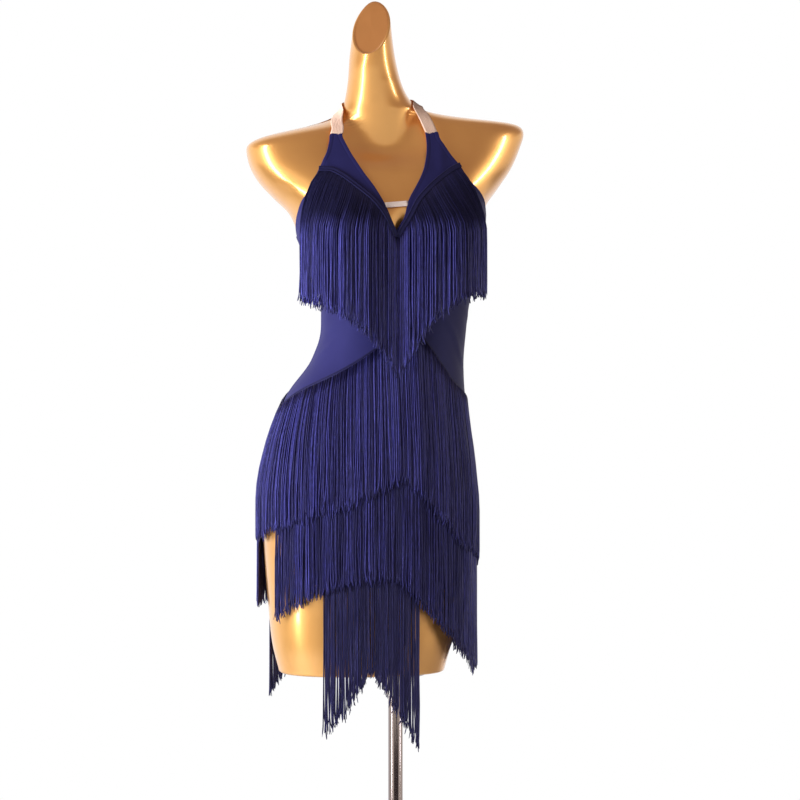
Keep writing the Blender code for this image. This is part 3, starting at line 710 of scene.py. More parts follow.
navy_stretch = make_cloth(
    "navy_stretch_knit",
    7.0,
    {},
    0.2,
    ((0.2, (0.0160, 0.0160, 0.082)), (0.75, (0.0220, 0.0220, 0.112))),
    (0.15, 0.0001),
    IOR=1.45,
    Specular_Tint=(0.40, 0.40, 1.0, 1.0),
    Sheen_Weight=0.06,
    Sheen_Roughness=0.5,
    Sheen_Tint=(0.30, 0.30, 0.80, 1.0),
)

# %% The panels' shapes
CLOTH_GAP = 0.0026
CLOTH_WALL = 0.0010
HEM_WIDTH = 0.006
HEM_RISE = 0.0003
GROOVE_DEPTH = 0.0002
STITCH_WIDTH = 0.0008
SEAM_DIP = 0.0007
SEAM_WIDTH = 0.0018
# Beside a seam the cloth swells again: where, how wide and how much.
SEAM_SWELL = {"place": 0.004, "width": 0.002, "rise": 0.0002}
SIDE_SEAM_ANGLE = 90.0
SEAM_ANGLE = 0.14
SEAM_LEVEL = 0.00025
UNDERBUST_LEVEL = 1.215
HIP_SEAM_LEVEL = 1.020
FRONT_SEAM_ANGLE = -5.0
NECKLINE_POINT = 1.305

# Cut edges of the bodice sides, a row for each level: the angles of the two edges.
BODICE_RIGHT_EDGES = (
    (1.4600, -23.8, -18.6),
    (1.450, -22.9, -16.7),
    (1.434, -23.8, -14.4),
    (1.418, -27.2, -12.8),
    (1.401, -32.6, -11.6),
    (1.385, -38.5, -10.5),
    (1.374, -44.0, -9.8),
    (1.360, -55.0, -8.9),
    (1.346, -66.0, -7.9),
    (1.328, -79.0, -6.8),
    (1.316, -86.0, -5.8),
    (NECKLINE_POINT, -90.0, FRONT_SEAM_ANGLE),
    (UNDERBUST_LEVEL, -90.0, FRONT_SEAM_ANGLE),
)
BODICE_LEFT_EDGES = (
    (1.4550, 7.8, 12.6),
    (1.446, 7.8, 12.9),
    (1.434, 7.9, 14.8),
    (1.418, 8.0, 18.3),
    (1.401, 7.8, 24.0),
    (1.385, 7.1, 30.0),
    (1.372, 5.9, 37.5),
    (1.360, 4.3, 47.0),
    (1.350, 3.0, 57.0),
    (1.335, 1.3, 70.0),
    (1.322, -0.6, 83.0),
    (1.314, -2.6, 88.0),
    (NECKLINE_POINT, FRONT_SEAM_ANGLE, 90.0),
    (UNDERBUST_LEVEL, FRONT_SEAM_ANGLE, 90.0),
)

# Edges that run round the figure, a row for each angle: the level of the edge.
BACK_TOP_EDGE = (
    (90, 1.306),
    (110, 1.301),
    (145, 1.287),
    (180, 1.282),
    (215, 1.287),
    (250, 1.301),
    (270, 1.306),
)
SKIRT_FRONT_HEM = (
    (-90, 0.862),
    (-64, 0.842),
    (-32, 0.768),
    (0, 0.768),
    (32, 0.762),
    (64, 0.800),
    (90, 0.845),
)
SKIRT_BACK_HEM = (
    (90, 0.845),
    (115, 0.800),
    (145, 0.757),
    (215, 0.772),
    (245, 0.815),
    (270, 0.862),
)

# Soft creases: the panel, the crease's middle as angle and level, its lean from upright in degrees,
# and its half length, half width and height in millimetres.
CREASES = (
    ("bodice_right", -26.0, 1.415, 12.0, 34.0, 5.0, 0.7),
    ("bodice_right", -34.0, 1.385, 30.0, 26.0, 6.0, 0.6),
    ("bodice_left", 14.0, 1.418, -8.0, 30.0, 5.0, 0.7),
    ("bodice_left", 26.0, 1.390, -32.0, 26.0, 6.0, 0.6),
    ("midriff_front", -58.0, 1.170, 68.0, 42.0, 7.0, 0.9),
    ("midriff_front", -66.0, 1.128, 60.0, 36.0, 6.0, 0.8),
    ("midriff_front", 48.0, 1.150, -52.0, 44.0, 6.0, 1.0),
    ("midriff_front", 62.0, 1.120, -60.0, 34.0, 6.0, 0.8),
    ("midriff_front", 70.0, 1.185, -74.0, 30.0, 6.0, 0.7),
    ("body_back", 118.0, 1.160, 72.0, 40.0, 7.0, 1.0),
    ("body_back", 242.0, 1.165, -72.0, 40.0, 7.0, 1.0),
    ("body_back", 180.0, 1.120, 90.0, 60.0, 8.0, 1.1),
    ("body_back", 176.0, 1.090, 84.0, 55.0, 7.0, 0.9),
)
BODY_RADIUS = 0.14


def edge_levels(edge, angles):
    """The level of an edge, which is one height or a table, at each angle."""
    if isinstance(edge, float):
        return np.full(len(angles), edge)
    keys, levels = np.array(edge).T
    return smooth_table(angles, keys, levels)


def crowded(count):
    """Shares from 0 to 1 that crowd towards both ends, (1 - cos pi t) / 2, for crisp edges."""
    return (1 - np.cos(np.linspace(0, np.pi, count))) / 2


def distance_from_edges(grid):
    """Each grid point's distance along the cloth from the top, bottom, first and last edges."""
    from_top, from_first = run_length(grid), run_length(grid, axis=1)
    return from_top, from_top[-1:] - from_top, from_first, from_first[:, -1:] - from_first


def edge_relief(kind, distance):
    """The rise of a hem with its stitch groove, or the dip of a seam, this far from the edge."""
    if kind == "hem":
        groove = np.exp(-(((distance - HEM_WIDTH) / STITCH_WIDTH) ** 2))
        return HEM_RISE * eased(1.6 - distance / HEM_WIDTH * 1.4) - GROOVE_DEPTH * groove
    swell = np.exp(-(((distance - SEAM_SWELL["place"]) / SEAM_SWELL["width"]) ** 2))
    return -SEAM_DIP * np.exp(-((distance / SEAM_WIDTH) ** 2)) + SEAM_SWELL["rise"] * swell


def crease_relief(panel, angles, levels):
    """The sum of a panel's creases: height * exp(-(along/length)^2) * (a ridge less a hollow).

    The ridge is exp(-(across/width)^2), and the hollow is 0.35 of that, 1.6 widths to one side.
    """
    relief = np.zeros(np.broadcast(angles, levels).shape)
    for name, angle, level, lean, length, width, height in CREASES:
        if name != panel:
            continue
        over = np.radians(angles - angle) * BODY_RADIUS
        up = levels - level
        turn = np.radians(lean)
        along = (over * np.sin(turn) + up * np.cos(turn)) / (length * MILLIMETRE)
        across = (over * np.cos(turn) - up * np.sin(turn)) / (width * MILLIMETRE)
        ridge = np.exp(-(across**2)) - 0.35 * np.exp(-((across + 1.6) ** 2))
        relief += height * MILLIMETRE * np.exp(-(along**2)) * ridge
    return relief


def make_panel(name, angles, levels, edges):
    """A panel over grids of angles and levels, with its four edges named hem or seam, as cloth."""
    surface = figure_point(angles, levels, CLOTH_GAP + CLOTH_WALL)
    distances = distance_from_edges(surface)
    relief = sum(edge_relief(kind, distance) for kind, distance in zip(edges, distances))
    relief = relief + crease_relief(name, angles, levels)
    outer = figure_point(angles, levels, CLOTH_GAP + CLOTH_WALL + relief)
    lifted = np.minimum(relief, 0) * 0.5 + np.clip(relief - HEM_RISE, 0, None)
    inner = figure_point(angles, levels, CLOTH_GAP + lifted)
    cut = np.stack([distances[2], -distances[0]], axis=-1)
    area = float(np.sum(quad_areas(surface)))
    size = (float(distances[2][:, -1].max()), float(distances[0][-1].max()))
    piece = thin_shell("cloth_" + name, inner, outer, cut)
    finish_piece(piece, navy_stretch, "navy_stretch", name)
    width, length = (round(extent, 3) for extent in size)
    print("   about", width, "by", length, "m,", round(area, 4), "square metres")
    return piece, size, area


def quad_areas(grid):
    """The area of each quad of a grid: half the length of the cross product of its diagonals."""
    first = grid[1:, 1:] - grid[:-1, :-1]
    second = grid[1:, :-1] - grid[:-1, 1:]
    return np.linalg.norm(np.cross(first, second), axis=-1) / 2


# %% Bodice sides


def make_bodice_side(name, edges):
    """A halter panel between two edges, from its strap point down to the underbust seam."""
    keys, first_edge, last_edge = np.array(edges)[::-1].T
    bottom = UNDERBUST_LEVEL + SEAM_LEVEL
    even = bottom + (keys[-1] - UNDERBUST_LEVEL - SEAM_LEVEL) * crowded(70)
    levels = np.unique(np.concatenate([even, keys[2:-1]]))[::-1]
    first = smooth_table(levels, keys, first_edge) + SEAM_ANGLE
    last = smooth_table(levels, keys, last_edge) - SEAM_ANGLE
    share = crowded(56)
    angles = first[:, None] * (1 - share) + last[:, None] * share
    levels = np.broadcast_to(levels[:, None], angles.shape)
    return make_panel(name, angles, levels, ("hem", "seam", "hem", "hem"))


panels = {
    "bodice_right": make_bodice_side("bodice_right", BODICE_RIGHT_EDGES),
    "bodice_left": make_bodice_side("bodice_left", BODICE_LEFT_EDGES),
}

# %% Midriff, back and skirt


def make_round_panel(name, start, end, top_edge, bottom_edge, kinds):
    """A panel from one side seam to the other, between an upper and a lower edge."""
    angles = start + SEAM_ANGLE + (end - start - 2 * SEAM_ANGLE) * crowded(90)
    top = edge_levels(top_edge, angles) - SEAM_LEVEL
    bottom = edge_levels(bottom_edge, angles) + SEAM_LEVEL
    share = crowded(60)[:, None]
    levels = top * (1 - share) + bottom * share
    return make_panel(name, np.broadcast_to(angles[None, :], levels.shape), levels, kinds)


IN_FRONT = (-SIDE_SEAM_ANGLE, SIDE_SEAM_ANGLE)
BEHIND = (SIDE_SEAM_ANGLE, 360 - SIDE_SEAM_ANGLE)
# Each row: the panel, the side seams it joins, its upper and lower edges, and how its edges are made.
ROUND_PANELS = (
    ("midriff_front", IN_FRONT, UNDERBUST_LEVEL, HIP_SEAM_LEVEL, ("seam", "seam", "seam", "seam")),
    ("body_back", BEHIND, BACK_TOP_EDGE, HIP_SEAM_LEVEL, ("hem", "seam", "seam", "seam")),
    ("skirt_front", IN_FRONT, HIP_SEAM_LEVEL, SKIRT_FRONT_HEM, ("seam", "hem", "seam", "seam")),
    ("skirt_back", BEHIND, HIP_SEAM_LEVEL, SKIRT_BACK_HEM, ("seam", "hem", "seam", "seam")),
)
for name, seams, top_edge, bottom_edge, kinds in ROUND_PANELS:
    panels[name] = make_round_panel(name, *seams, top_edge, bottom_edge, kinds)

# %% [markdown]
# ## Elastic straps
#
# The halter is held by skin-coloured ribbed elastic that runs from one bodice point, behind the
# neck, to the other, and a short flat piece bridges the neckline. Elastic has fine ribs along its
# length, so the ribs are real: the profile across the strap is a shallow wave.

# %% Nude ribbed elastic


def make_elastic(name, dark, light):
    """Elastic: coarser loops that stand out more, with a warm pale sheen."""
    return make_cloth(
        name,
        30.0,
        {"Across": 5000.0, "Along": 5000.0},
        0.45,
        ((0.2, dark), (0.8, light)),
        (0.5, 0.0004),
        Specular_IOR_Level=0.35,
        Sheen_Weight=0.25,
        Sheen_Roughness=0.5,
        Sheen_Tint=(1.0, 0.86, 0.8, 1.0),
    )


nude_elastic = make_elastic("nude_elastic", (1.0, 0.68, 0.54), (1.0, 0.80, 0.67))
pale_elastic = make_elastic("pale_nude_elastic", (0.97, 0.80, 0.74), (1.0, 0.90, 0.86))

# %% Neck strap and bridge strap
BRIDGE_STRAP = {"level": 1.3435, "height": 0.0082, "right": -9.6, "left": 4.2, "rise": 0.0030}
# The neck strap's middle line, as angles and levels, from the right bodice side to the left one.
NECK_STRAP_LINE = (
    (-19.6, 1.4440),
    (-20.4, 1.4540),
    (-22.2, 1.4632),
    (-25.4, 1.4690),
    (-34.0, 1.4755),
    (-49.0, 1.4825),
    (-67.0, 1.4910),
    (-88.0, 1.4995),
    (-118.0, 1.5050),
    (-150.0, 1.5090),
    (-180.0, 1.5110),
    (-210.0, 1.5100),
    (-245.0, 1.5080),
    (-280.0, 1.5050),
    (-309.0, 1.5000),
    (-328.0, 1.4930),
    (-341.5, 1.4835),
    (-348.5, 1.4760),
    (-350.4, 1.4680),
    (-350.0, 1.4584),
    (-349.6, 1.4480),
    (-349.4, 1.4400),
)
NECK_STRAP_WIDTH = 0.018
STRAP_WALL = 0.0011
STRAP_GAP = 0.0031
TUCKED_GAP = 0.0010
STRAP_RISE = 0.020
RIB_DEPTH = 0.00012
NECK_TUCK = 0.052
BRIDGE_TUCK = 0.08
# The neck strap's line is averaged over this many of its points, with weights that fall to nothing.
LINE_POINTS = 200
LINE_MEAN = 29


def lengthwise(line):
    """The unit direction of a line at each of its points."""
    return unit(np.gradient(line, axis=0))


def odd_pad(values, reach):
    """Values carried on past both ends of their last axis but one, turned about each end point."""
    return np.pad(values, ((0, 0), (reach, reach), (0, 0)), mode="reflect", reflect_type="odd")


def strap_shell(name, line, across, width, ribs, tuck, material, node):
    """An elastic band along a line: its face is out + rib_depth * cos(2 pi * ribs * share).

    The band stands clear of the figure, and each end dips under the cloth over the share tuck.
    """
    share = np.linspace(0, 1, ribs * 6 + 1)
    sides = (0.5 - share) * width
    face = line[None, :] + across[None, :] * sides[:, None, None]
    stations = np.arange(len(line))
    to_end = np.minimum(stations, stations[::-1]) / len(line)
    free = eased((to_end - tuck) / STRAP_RISE)
    normal, stands_off = beside_and_above(face)
    move = np.clip(STRAP_GAP - stands_off, 0, None) * free + (TUCKED_GAP - stands_off) * (1 - free)
    padded = odd_pad(face + normal * move[..., None], 3)
    face = np.mean([padded[:, shift : shift + len(line)] for shift in range(7)], axis=0)
    normal = beside_and_above(face)[0]
    edge = np.minimum(share, 1 - share) * width
    wall = STRAP_WALL * (0.55 + 0.45 * eased(edge / 0.0009))
    wave = RIB_DEPTH * np.cos(2 * np.pi * ribs * share)
    outer = face + normal * (wall + wave)[:, None, None]
    length = run_length(line)
    cut = np.stack(np.broadcast_arrays(length[None, :], sides[:, None]), axis=-1)
    piece = thin_shell(name, face, outer, cut)
    finish_piece(piece, material, "nude_elastic", node)
    print("   length", round(float(length[-1]), 3), "m")
    return piece, float(length[-1])


def make_neck_strap():
    """The strap's line is a smooth curve through its rows, and its width lies across that line."""
    line_angles, line_levels = np.array(NECK_STRAP_LINE)[::-1].T
    rows = np.arange(len(line_angles))
    places = np.linspace(0, rows[-1], LINE_POINTS)
    angles = smooth_table(places, rows, line_angles)
    levels = smooth_table(places, rows, line_levels)
    weights = np.hanning(LINE_MEAN)
    weights /= weights.sum()
    padded = odd_pad(figure_point(angles, levels, STRAP_GAP)[None], LINE_MEAN // 2)[0]
    line = np.stack([np.convolve(column, weights, mode="valid") for column in padded.T], axis=-1)
    across = unit(np.cross(beside_and_above(line)[0], lengthwise(line)))
    look = (NECK_STRAP_WIDTH, 8, NECK_TUCK, nude_elastic)
    return strap_shell("strap_neck", line, across, *look, "neck_strap")


def make_bridge_strap():
    """A short slanted band across the neckline, its ends tucked under the bodice sides."""
    share = np.linspace(0, 1, 60)
    angles = BRIDGE_STRAP["right"] + (BRIDGE_STRAP["left"] - BRIDGE_STRAP["right"]) * share
    levels = BRIDGE_STRAP["level"] + BRIDGE_STRAP["rise"] * share
    line = figure_point(angles, levels, STRAP_GAP)
    across = np.cross(figure_normal(angles, levels), lengthwise(line))
    look = (BRIDGE_STRAP["height"], 4, BRIDGE_TUCK, pale_elastic)
    return strap_shell("strap_bridge", line[::-1], -across[::-1], *look, "bridge_strap")


neck_strap, neck_strap_length = make_neck_strap()
bridge_strap, bridge_strap_length = make_bridge_strap()

# %% [markdown]
# ## Rows of fringe
#
# Each row is a corded tape with strands sewn under it. The table gives the tape's line on the figure
# and, for each point of it, the angle the strands fan out to and their length. Strands on the bust
# lie on it and spread, then drop straight from its fullest level; strands on the hips fall freely
# and are pushed out by the body. Hair particles could draw this, but they don't export as a mesh and
# can't be kept inside a row's own space.

# %% The rows' table
TAPE_HEIGHT = 0.008
TAPE_SLOPE_LIMIT = 2.2
NO_CLING = 9.0
FINE_ANGLES = 600
FEWEST_SPACES = 8
# Hanging strands are spaced evenly at this share of their length.
SPACED_AT = 0.6
# root is the strands' stand-off where they are sewn, and root_place is where that is on the tape,
# from -1 at its foot to 1 at its top. tape_out is how far the tape stands off the figure, out holds
# (distance fallen, stand-off of the strands), cling is the level down to which strands lie on the
# bust, gather and tone change the locks and the colour of a whole row, and line holds (angle, level
# of the tape, angle that the strands have fanned out to, strand length). The tails' lower tone is
# painted shade.
BUST_ROW = {
    "root": 0.0050,
    "root_place": -0.5,
    "tape_out": 0.0056,
    "cling": 1.318,
    "gather": 1.0,
}
LOWER_ROW = {
    "root": 0.0062,
    "root_place": 0.4,
    "tape_out": 0.0046,
    "cling": NO_CLING,
    "gather": 1.0,
}
OVER_HIPS = ((0.0, 0.0056), (0.040, 0.0056), (0.095, 0.0072), (0.130, 0.0074), (0.160, 0.0086))
FRINGE_ROWS = {
    "bodice_right": {
        **BUST_ROW,
        "tone": 0.10,
        "out": ((0.0, 0.0076), (1.0, 0.0076)),
        "line": (
            (-31.0, 1.406, -70.0, 0.211),
            (-25.5, 1.404, -56.0, 0.209),
            (-21.5, 1.395, -44.0, 0.206),
            (-17.0, 1.371, -30.0, 0.203),
            (-12.0, 1.345, -17.5, 0.202),
            (-8.0, 1.319, -8.6, 0.206),
            (-5.2, 1.297, -5.4, 0.203),
        ),
    },
    "bodice_left": {
        **BUST_ROW,
        "tone": 0.10,
        "out": ((0.0, 0.0080), (1.0, 0.0080)),
        "line": (
            (-4.8, 1.297, -4.7, 0.203),
            (-2.0, 1.308, -1.9, 0.207),
            (4.0, 1.333, 5.6, 0.199),
            (9.5, 1.357, 15.5, 0.191),
            (16.5, 1.385, 34.0, 0.193),
            (20.5, 1.397, 47.0, 0.202),
            (24.0, 1.402, 56.0, 0.207),
        ),
    },
    "hip_front": {
        **LOWER_ROW,
        "tone": 0.08,
        "out": OVER_HIPS,
        "line": (
            (-89.8, 1.032, -89.5, 0.204),
            (-70.0, 1.052, -72.0, 0.203),
            (-45.0, 1.081, -50.0, 0.208),
            (-19.0, 1.124, -20.0, 0.213),
            (-5.0, 1.148, -5.0, 0.217),
            (2.0, 1.157, 2.0, 0.235),
            (16.0, 1.138, 17.0, 0.243),
            (31.0, 1.109, 33.0, 0.238),
            (50.0, 1.078, 52.0, 0.239),
            (89.8, 1.052, 89.5, 0.241),
        ),
    },
    "hip_back": {
        **LOWER_ROW,
        "tone": 0.00,
        "out": OVER_HIPS,
        "line": (
            (90.2, 1.052, 90.5, 0.234),
            (130.0, 1.082, 128.0, 0.225),
            (160.0, 1.112, 159.0, 0.225),
            (180.0, 1.132, 180.0, 0.225),
            (200.0, 1.112, 201.0, 0.225),
            (230.0, 1.075, 232.0, 0.218),
            (269.8, 1.032, 269.5, 0.204),
        ),
    },
    "middle_front": {
        **LOWER_ROW,
        "tone": -0.05,
        "out": ((0.0, 0.0056), (0.108, 0.0056), (0.132, 0.0082)),
        "line": (
            (-65.0, 0.943, -66.0, 0.231),
            (-39.0, 0.976, -39.0, 0.225),
            (-13.0, 0.996, -13.0, 0.219),
            (4.0, 1.010, 4.0, 0.229),
            (12.0, 0.990, 12.0, 0.223),
            (37.0, 0.937, 38.0, 0.229),
            (60.0, 0.897, 61.0, 0.229),
            (89.8, 0.865, 89.5, 0.216),
        ),
    },
    "middle_back": {
        **LOWER_ROW,
        "tone": 0.00,
        "out": ((0.0, 0.0056), (0.060, 0.0056), (0.094, 0.0082)),
        "line": (
            (90.2, 0.865, 90.5, 0.225),
            (130.0, 0.915, 130.0, 0.225),
            (165.0, 0.972, 165.0, 0.225),
            (180.0, 0.992, 180.0, 0.225),
            (195.0, 0.984, 195.0, 0.225),
            (256.0, 0.952, 256.0, 0.225),
        ),
    },
    "tail_front": {
        **LOWER_ROW,
        # Painted shade: this tail's strands are darkened as a whole.
        "tone": -0.45,
        "gather": 0.40,
        "out": ((0.0, 0.0056), (1.0, 0.0056)),
        "line": (
            (-30.0, 0.778, -30.0, 0.227),
            (-17.0, 0.820, -17.0, 0.236),
            (-5.0, 0.868, -5.0, 0.229),
            (8.0, 0.812, 8.0, 0.230),
            (21.0, 0.760, 21.0, 0.227),
        ),
    },
    "tail_back": {
        **LOWER_ROW,
        # Painted shade: this tail's strands are darkened as a whole.
        "tone": -0.30,
        "out": ((0.0, 0.0056), (1.0, 0.0056)),
        "line": (
            (151.0, 0.772, 151.0, 0.225),
            (168.0, 0.838, 168.0, 0.225),
            (188.0, 0.890, 188.0, 0.225),
            (205.0, 0.872, 205.0, 0.225),
            (222.0, 0.843, 222.0, 0.225),
            (237.0, 0.817, 237.0, 0.225),
        ),
    },
}


def tape_line(row, angles):
    """A tape's level at each angle, and half its height measured upright, longer on a slope."""
    keys, levels = np.array(row["line"]).T[:2]
    level = smooth_table(angles, keys, levels)
    step = 0.5
    before = bare_point(angles - step, smooth_table(angles - step, keys, levels))
    after = bare_point(angles + step, smooth_table(angles + step, keys, levels))
    change = after - before
    flat = np.linalg.norm(change[..., :2], axis=-1)
    slope = np.linalg.norm(change, axis=-1) / flat
    return level, TAPE_HEIGHT / 2 * np.minimum(slope, TAPE_SLOPE_LIMIT)


def even_angles(row, spacing, hanging=False):
    """Angles along a row that are even along its tape, or seen from above where strands hang."""
    keys, _, ends, lengths = np.array(row["line"]).T
    fine = np.linspace(keys[0] + SEAM_ANGLE, keys[-1] - SEAM_ANGLE, FINE_ANGLES)
    line = figure_point(fine, tape_line(row, fine)[0], row["tape_out"])
    if hanging:
        below = tape_line(row, fine)[0] - smooth_table(fine, keys, lengths) * SPACED_AT
        line = figure_point(smooth_table(fine, keys, ends), below, row["tape_out"])[:, :2]
    length = run_length(line)
    count = max(int(length[-1] / spacing), FEWEST_SPACES)
    return np.interp(np.linspace(0, length[-1], count + 1), length, fine), float(length[-1])


# %% [markdown]
# The tape is a flat braid between two twisted cords. Its profile is a closed curve: half-width times
# cos t across, and a height that swells at the two cords and closes to nothing at the edges. The
# cords' twist is a small wave that runs along and around them.

# %% Tapes
TAPE_STEP = 0.0012
TAPE_SIDES = 22
TAPE_HALF = 0.0040
TAPE_MIDDLE = 0.0006
WEB_HEIGHT = 0.00022
CORD_PLACE = 0.0027
CORD_WIDTH = 0.0009
CORD_HEIGHT = 0.00105
# The twist is a wave: its pitch along the tape, its pitch across, and its share of the height.
TWIST = {"along": 0.0030, "across": 0.0035, "share": 0.16}
navy_tape = make_cloth(
    "navy_corded_tape",
    40.0,
    {"Across": 2000.0, "Along": 1600.0},
    0.5,
    ((0.15, (0.007, 0.007, 0.030)), (0.8, (0.021, 0.021, 0.088))),
    (0.4, 0.0004),
    Specular_Tint=(0.45, 0.45, 1.0, 1.0),
    Specular_IOR_Level=0.35,
    Sheen_Weight=0.12,
    Sheen_Roughness=0.4,
    Sheen_Tint=(0.35, 0.35, 0.85, 1.0),
)


def make_tape(name, row):
    """A braid with the profile (a, h) along its row's line.

    a = half_width cos t and h = sign(sin t) (web + cords) sqrt(1 - (a / half_width)^2)^0.6.
    """
    angles, length = even_angles(row, TAPE_STEP)
    level = tape_line(row, angles)[0]
    line = figure_point(angles, level, row["tape_out"] + TAPE_MIDDLE)
    normal = figure_normal(angles, level)
    across = unit(np.cross(normal, lengthwise(line)))
    t = np.linspace(0, 2 * np.pi, TAPE_SIDES, endpoint=False)
    over = TAPE_HALF * np.cos(t)
    cords = WEB_HEIGHT + CORD_HEIGHT * np.exp(-(((np.abs(over) - CORD_PLACE) / CORD_WIDTH) ** 2))
    closing = np.sqrt(np.clip(1 - (over / TAPE_HALF) ** 2, 0, 1)) ** 0.6
    distance = np.linspace(0, length, len(angles))[:, None]
    wave = np.sin(2 * np.pi * (distance / TWIST["along"] + over / TWIST["across"]))
    height = np.sign(np.sin(t)) * (cords * closing) * (1 + TWIST["share"] * wave)
    flat = line[:, None] + across[:, None] * over[None, :, None]
    grid = flat + normal[:, None] * height[..., None]
    uv = np.stack(np.broadcast_arrays(distance, over), axis=-1).reshape(-1, 2)
    ends = grid[[0, -1]].mean(axis=1)
    flat_uv = np.concatenate([uv, [[0, 0], [length, 0]]])
    piece = put_capped("tape_of_" + name, grid, ends, uv=flat_uv, turned_over=True)
    finish_piece(piece, navy_tape, "navy_stretch", "tape_" + name)
    return piece, length


tapes = {}
tape_lengths = {}
for name, row in FRINGE_ROWS.items():
    tapes[name], tape_lengths[name] = make_tape(name, row)
print("tape lengths in metres:", {name: round(length, 3) for name, length in tape_lengths.items()})

# %% [markdown]
# ## Strands
#
# A strand is a slim twisted cord of rayon. Thousands of them hang in a few layers, lean together in
# small locks, wander a little, and end at uneven lengths. All the strands of a row are worked out as
# one array: strand by step by coordinate. Four-sided tubes are enough for something a millimetre
# and a half thick, and their slow turn makes them glint like a twisted cord.

# %% Rayon strands
STRAND_STOPS = (
    (0.1, (0.002, 0.002, 0.009)),
    (0.5, (0.013, 0.013, 0.070)),
    (0.95, (0.075, 0.077, 0.400)),
)
# What multiplies the colour of strands where other strands or a tape keep the light off them.
HIDDEN_SHADE = (0.20, 0.19, 0.15)


def stretched_noise(tree, scale, **settings):
    """Noise over the Object coordinates, finer along some axes than along others."""
    place = add_node(tree, "Mapping", Vector=object_place(tree), Scale=scale).outputs["Vector"]
    return add_node(tree, "TexNoise", Vector=place, Scale=1.0, **settings).outputs["Fac"]


def make_strand_material():
    """The colour follows each strand's own tone, with painted broken glints along it, painted shade
    at the root and where it lies on the bust, and a fine twist along it.
    """
    material, tree, shader = new_finish(
        "navy_rayon_strands",
        IOR=1.65,
        Specular_IOR_Level=0.8,
        Specular_Tint=(0.34, 0.34, 1.0, 1.0),
        Sheen_Weight=0.04,
        Sheen_Roughness=0.5,
        Sheen_Tint=(0.30, 0.30, 0.8, 1.0),
    )
    # Noise drawn out along the strands and mixed into the colour: painted broken glints.
    painted_glints = stretched_noise(tree, (520.0, 520.0, 110.0), Detail=2.0, Roughness=0.6)
    own = math_node(tree, "MULTIPLY_ADD", own_value(tree, "tone"), 0.8, -0.30)
    mixed = math_node(tree, "MULTIPLY_ADD", painted_glints, 0.75, own)
    colour = ramp_node(tree, mixed, STRAND_STOPS)
    lying = own_value(tree, "lying")
    fallen = math_node(tree, "MULTIPLY", own_value(tree, "along"), 8.0)
    near_root = math_node(tree, "MULTIPLY", math_node(tree, "SUBTRACT", 1.0, fallen), 0.6)
    hidden = math_node(tree, "MAXIMUM", lying, near_root)
    shade = ramp_node(tree, hidden, ((0.0, (1.0, 1.0, 1.0)), (1.0, HIDDEN_SHADE)))
    feed(tree, shader.inputs["Base Color"], mix_node(tree, 1.0, colour, shade, blend="MULTIPLY"))
    feed(tree, shader.inputs["Roughness"], math_node(tree, "MULTIPLY_ADD", lying, 0.55, 0.38))
    turns = math_node(tree, "MULTIPLY", own_value(tree, "distance"), 4200.0)
    add_bump(tree, shader, math_node(tree, "SINE", turns), 0.2, 0.0003)
    return material


navy_strands = make_strand_material()

# %% Where strands hang
# Each layer's tones are random within its range; the back layers' lower range is painted shade, where
# the strands in front keep the light off them.
LAYERS = (
    {"out": -0.0008, "spacing": 0.0014, "radius": 0.00105, "tone": (0.00, 0.30), "gather": 0.2},
    {"out": 0.0004, "spacing": 0.0021, "radius": 0.00075, "tone": (0.10, 0.75), "gather": 0.8},
    {"out": 0.0015, "spacing": 0.0027, "radius": 0.00070, "tone": (0.25, 1.00), "gather": 1.0},
)
UNDER_TAPE = 0.0016
PATH_STEP = 0.004
FAN_POWER = 0.95
SIDES = 4
SHARES = np.concatenate([np.linspace(0, 0.93, 10), [0.955, 0.98, 1.0]])
ROOT_LENGTH = 0.030
ROOT_SHARE = 0.3
MEAN_REACH = 4
# Strands end unevenly: their lengths change by a normal share within these limits.
LENGTH_CHANGE = {"mean": -0.01, "spread": 0.020, "least": -0.07, "most": 0.03}
LOCK_STRANDS = (2, 8)
LOCK_PULL = (0.15, 0.6)
# How far strands sway, drift off in their locks, curl at the tip and lift, in metres.
WANDER = {"sway": 0.0008, "drift": 0.0016, "curl": 0.0026, "lift": (-0.0002, 0.0007)}
MOST_TURN = 4.0


def hanging_paths(row, angles, start, outs, lengths):
    """Paths of strands that start at angles and levels: lying on the bust, then falling.

    While a strand lies, its angle is the start plus fan * share^fan_power. While it falls, each
    step is straight down, then out of the body where the body is wider. outs is each strand's own
    offset, of which only a share is there at the tape. At the end a running mean rounds the bend
    between the two.
    """
    keys, _, ends, _ = np.array(row["line"]).T
    fan = smooth_table(angles, keys, ends) - angles
    out_at = np.array(row["out"]).T
    point = beside_figure(angles, start, row["root"] + ROOT_SHARE * outs)
    path = [point]
    fallen = 0.0
    clings_for = np.maximum(start - row["cling"], 0.0)
    for _ in range(int(lengths.max() / PATH_STEP) + 2):
        fallen += PATH_STEP
        grown = eased(fallen / ROOT_LENGTH)
        row_out = row["root"] * (1 - grown) + np.interp(fallen, *out_at) * grown
        out = row_out + outs * (ROOT_SHARE + (1 - ROOT_SHARE) * grown)
        share = np.clip(fallen / np.maximum(clings_for, PATH_STEP), 0, 1)
        lying = beside_figure(angles + fan * share**FAN_POWER, start - fallen, out)
        falling = push_clear(point - np.array([0.0, 0.0, PATH_STEP]), out)
        point = np.where((fallen <= clings_for)[:, None], lying, falling)
        path.append(point)
    path = np.stack(path, axis=1)
    if row["cling"] != NO_CLING:
        inner = path.shape[1] - 2 * MEAN_REACH
        shifts = range(2 * MEAN_REACH + 1)
        mean = np.mean([path[:, shift : shift + inner, :2] for shift in shifts], axis=0)
        path[:, MEAN_REACH:-MEAN_REACH, :2] = mean
    return path, run_length(path, axis=1)


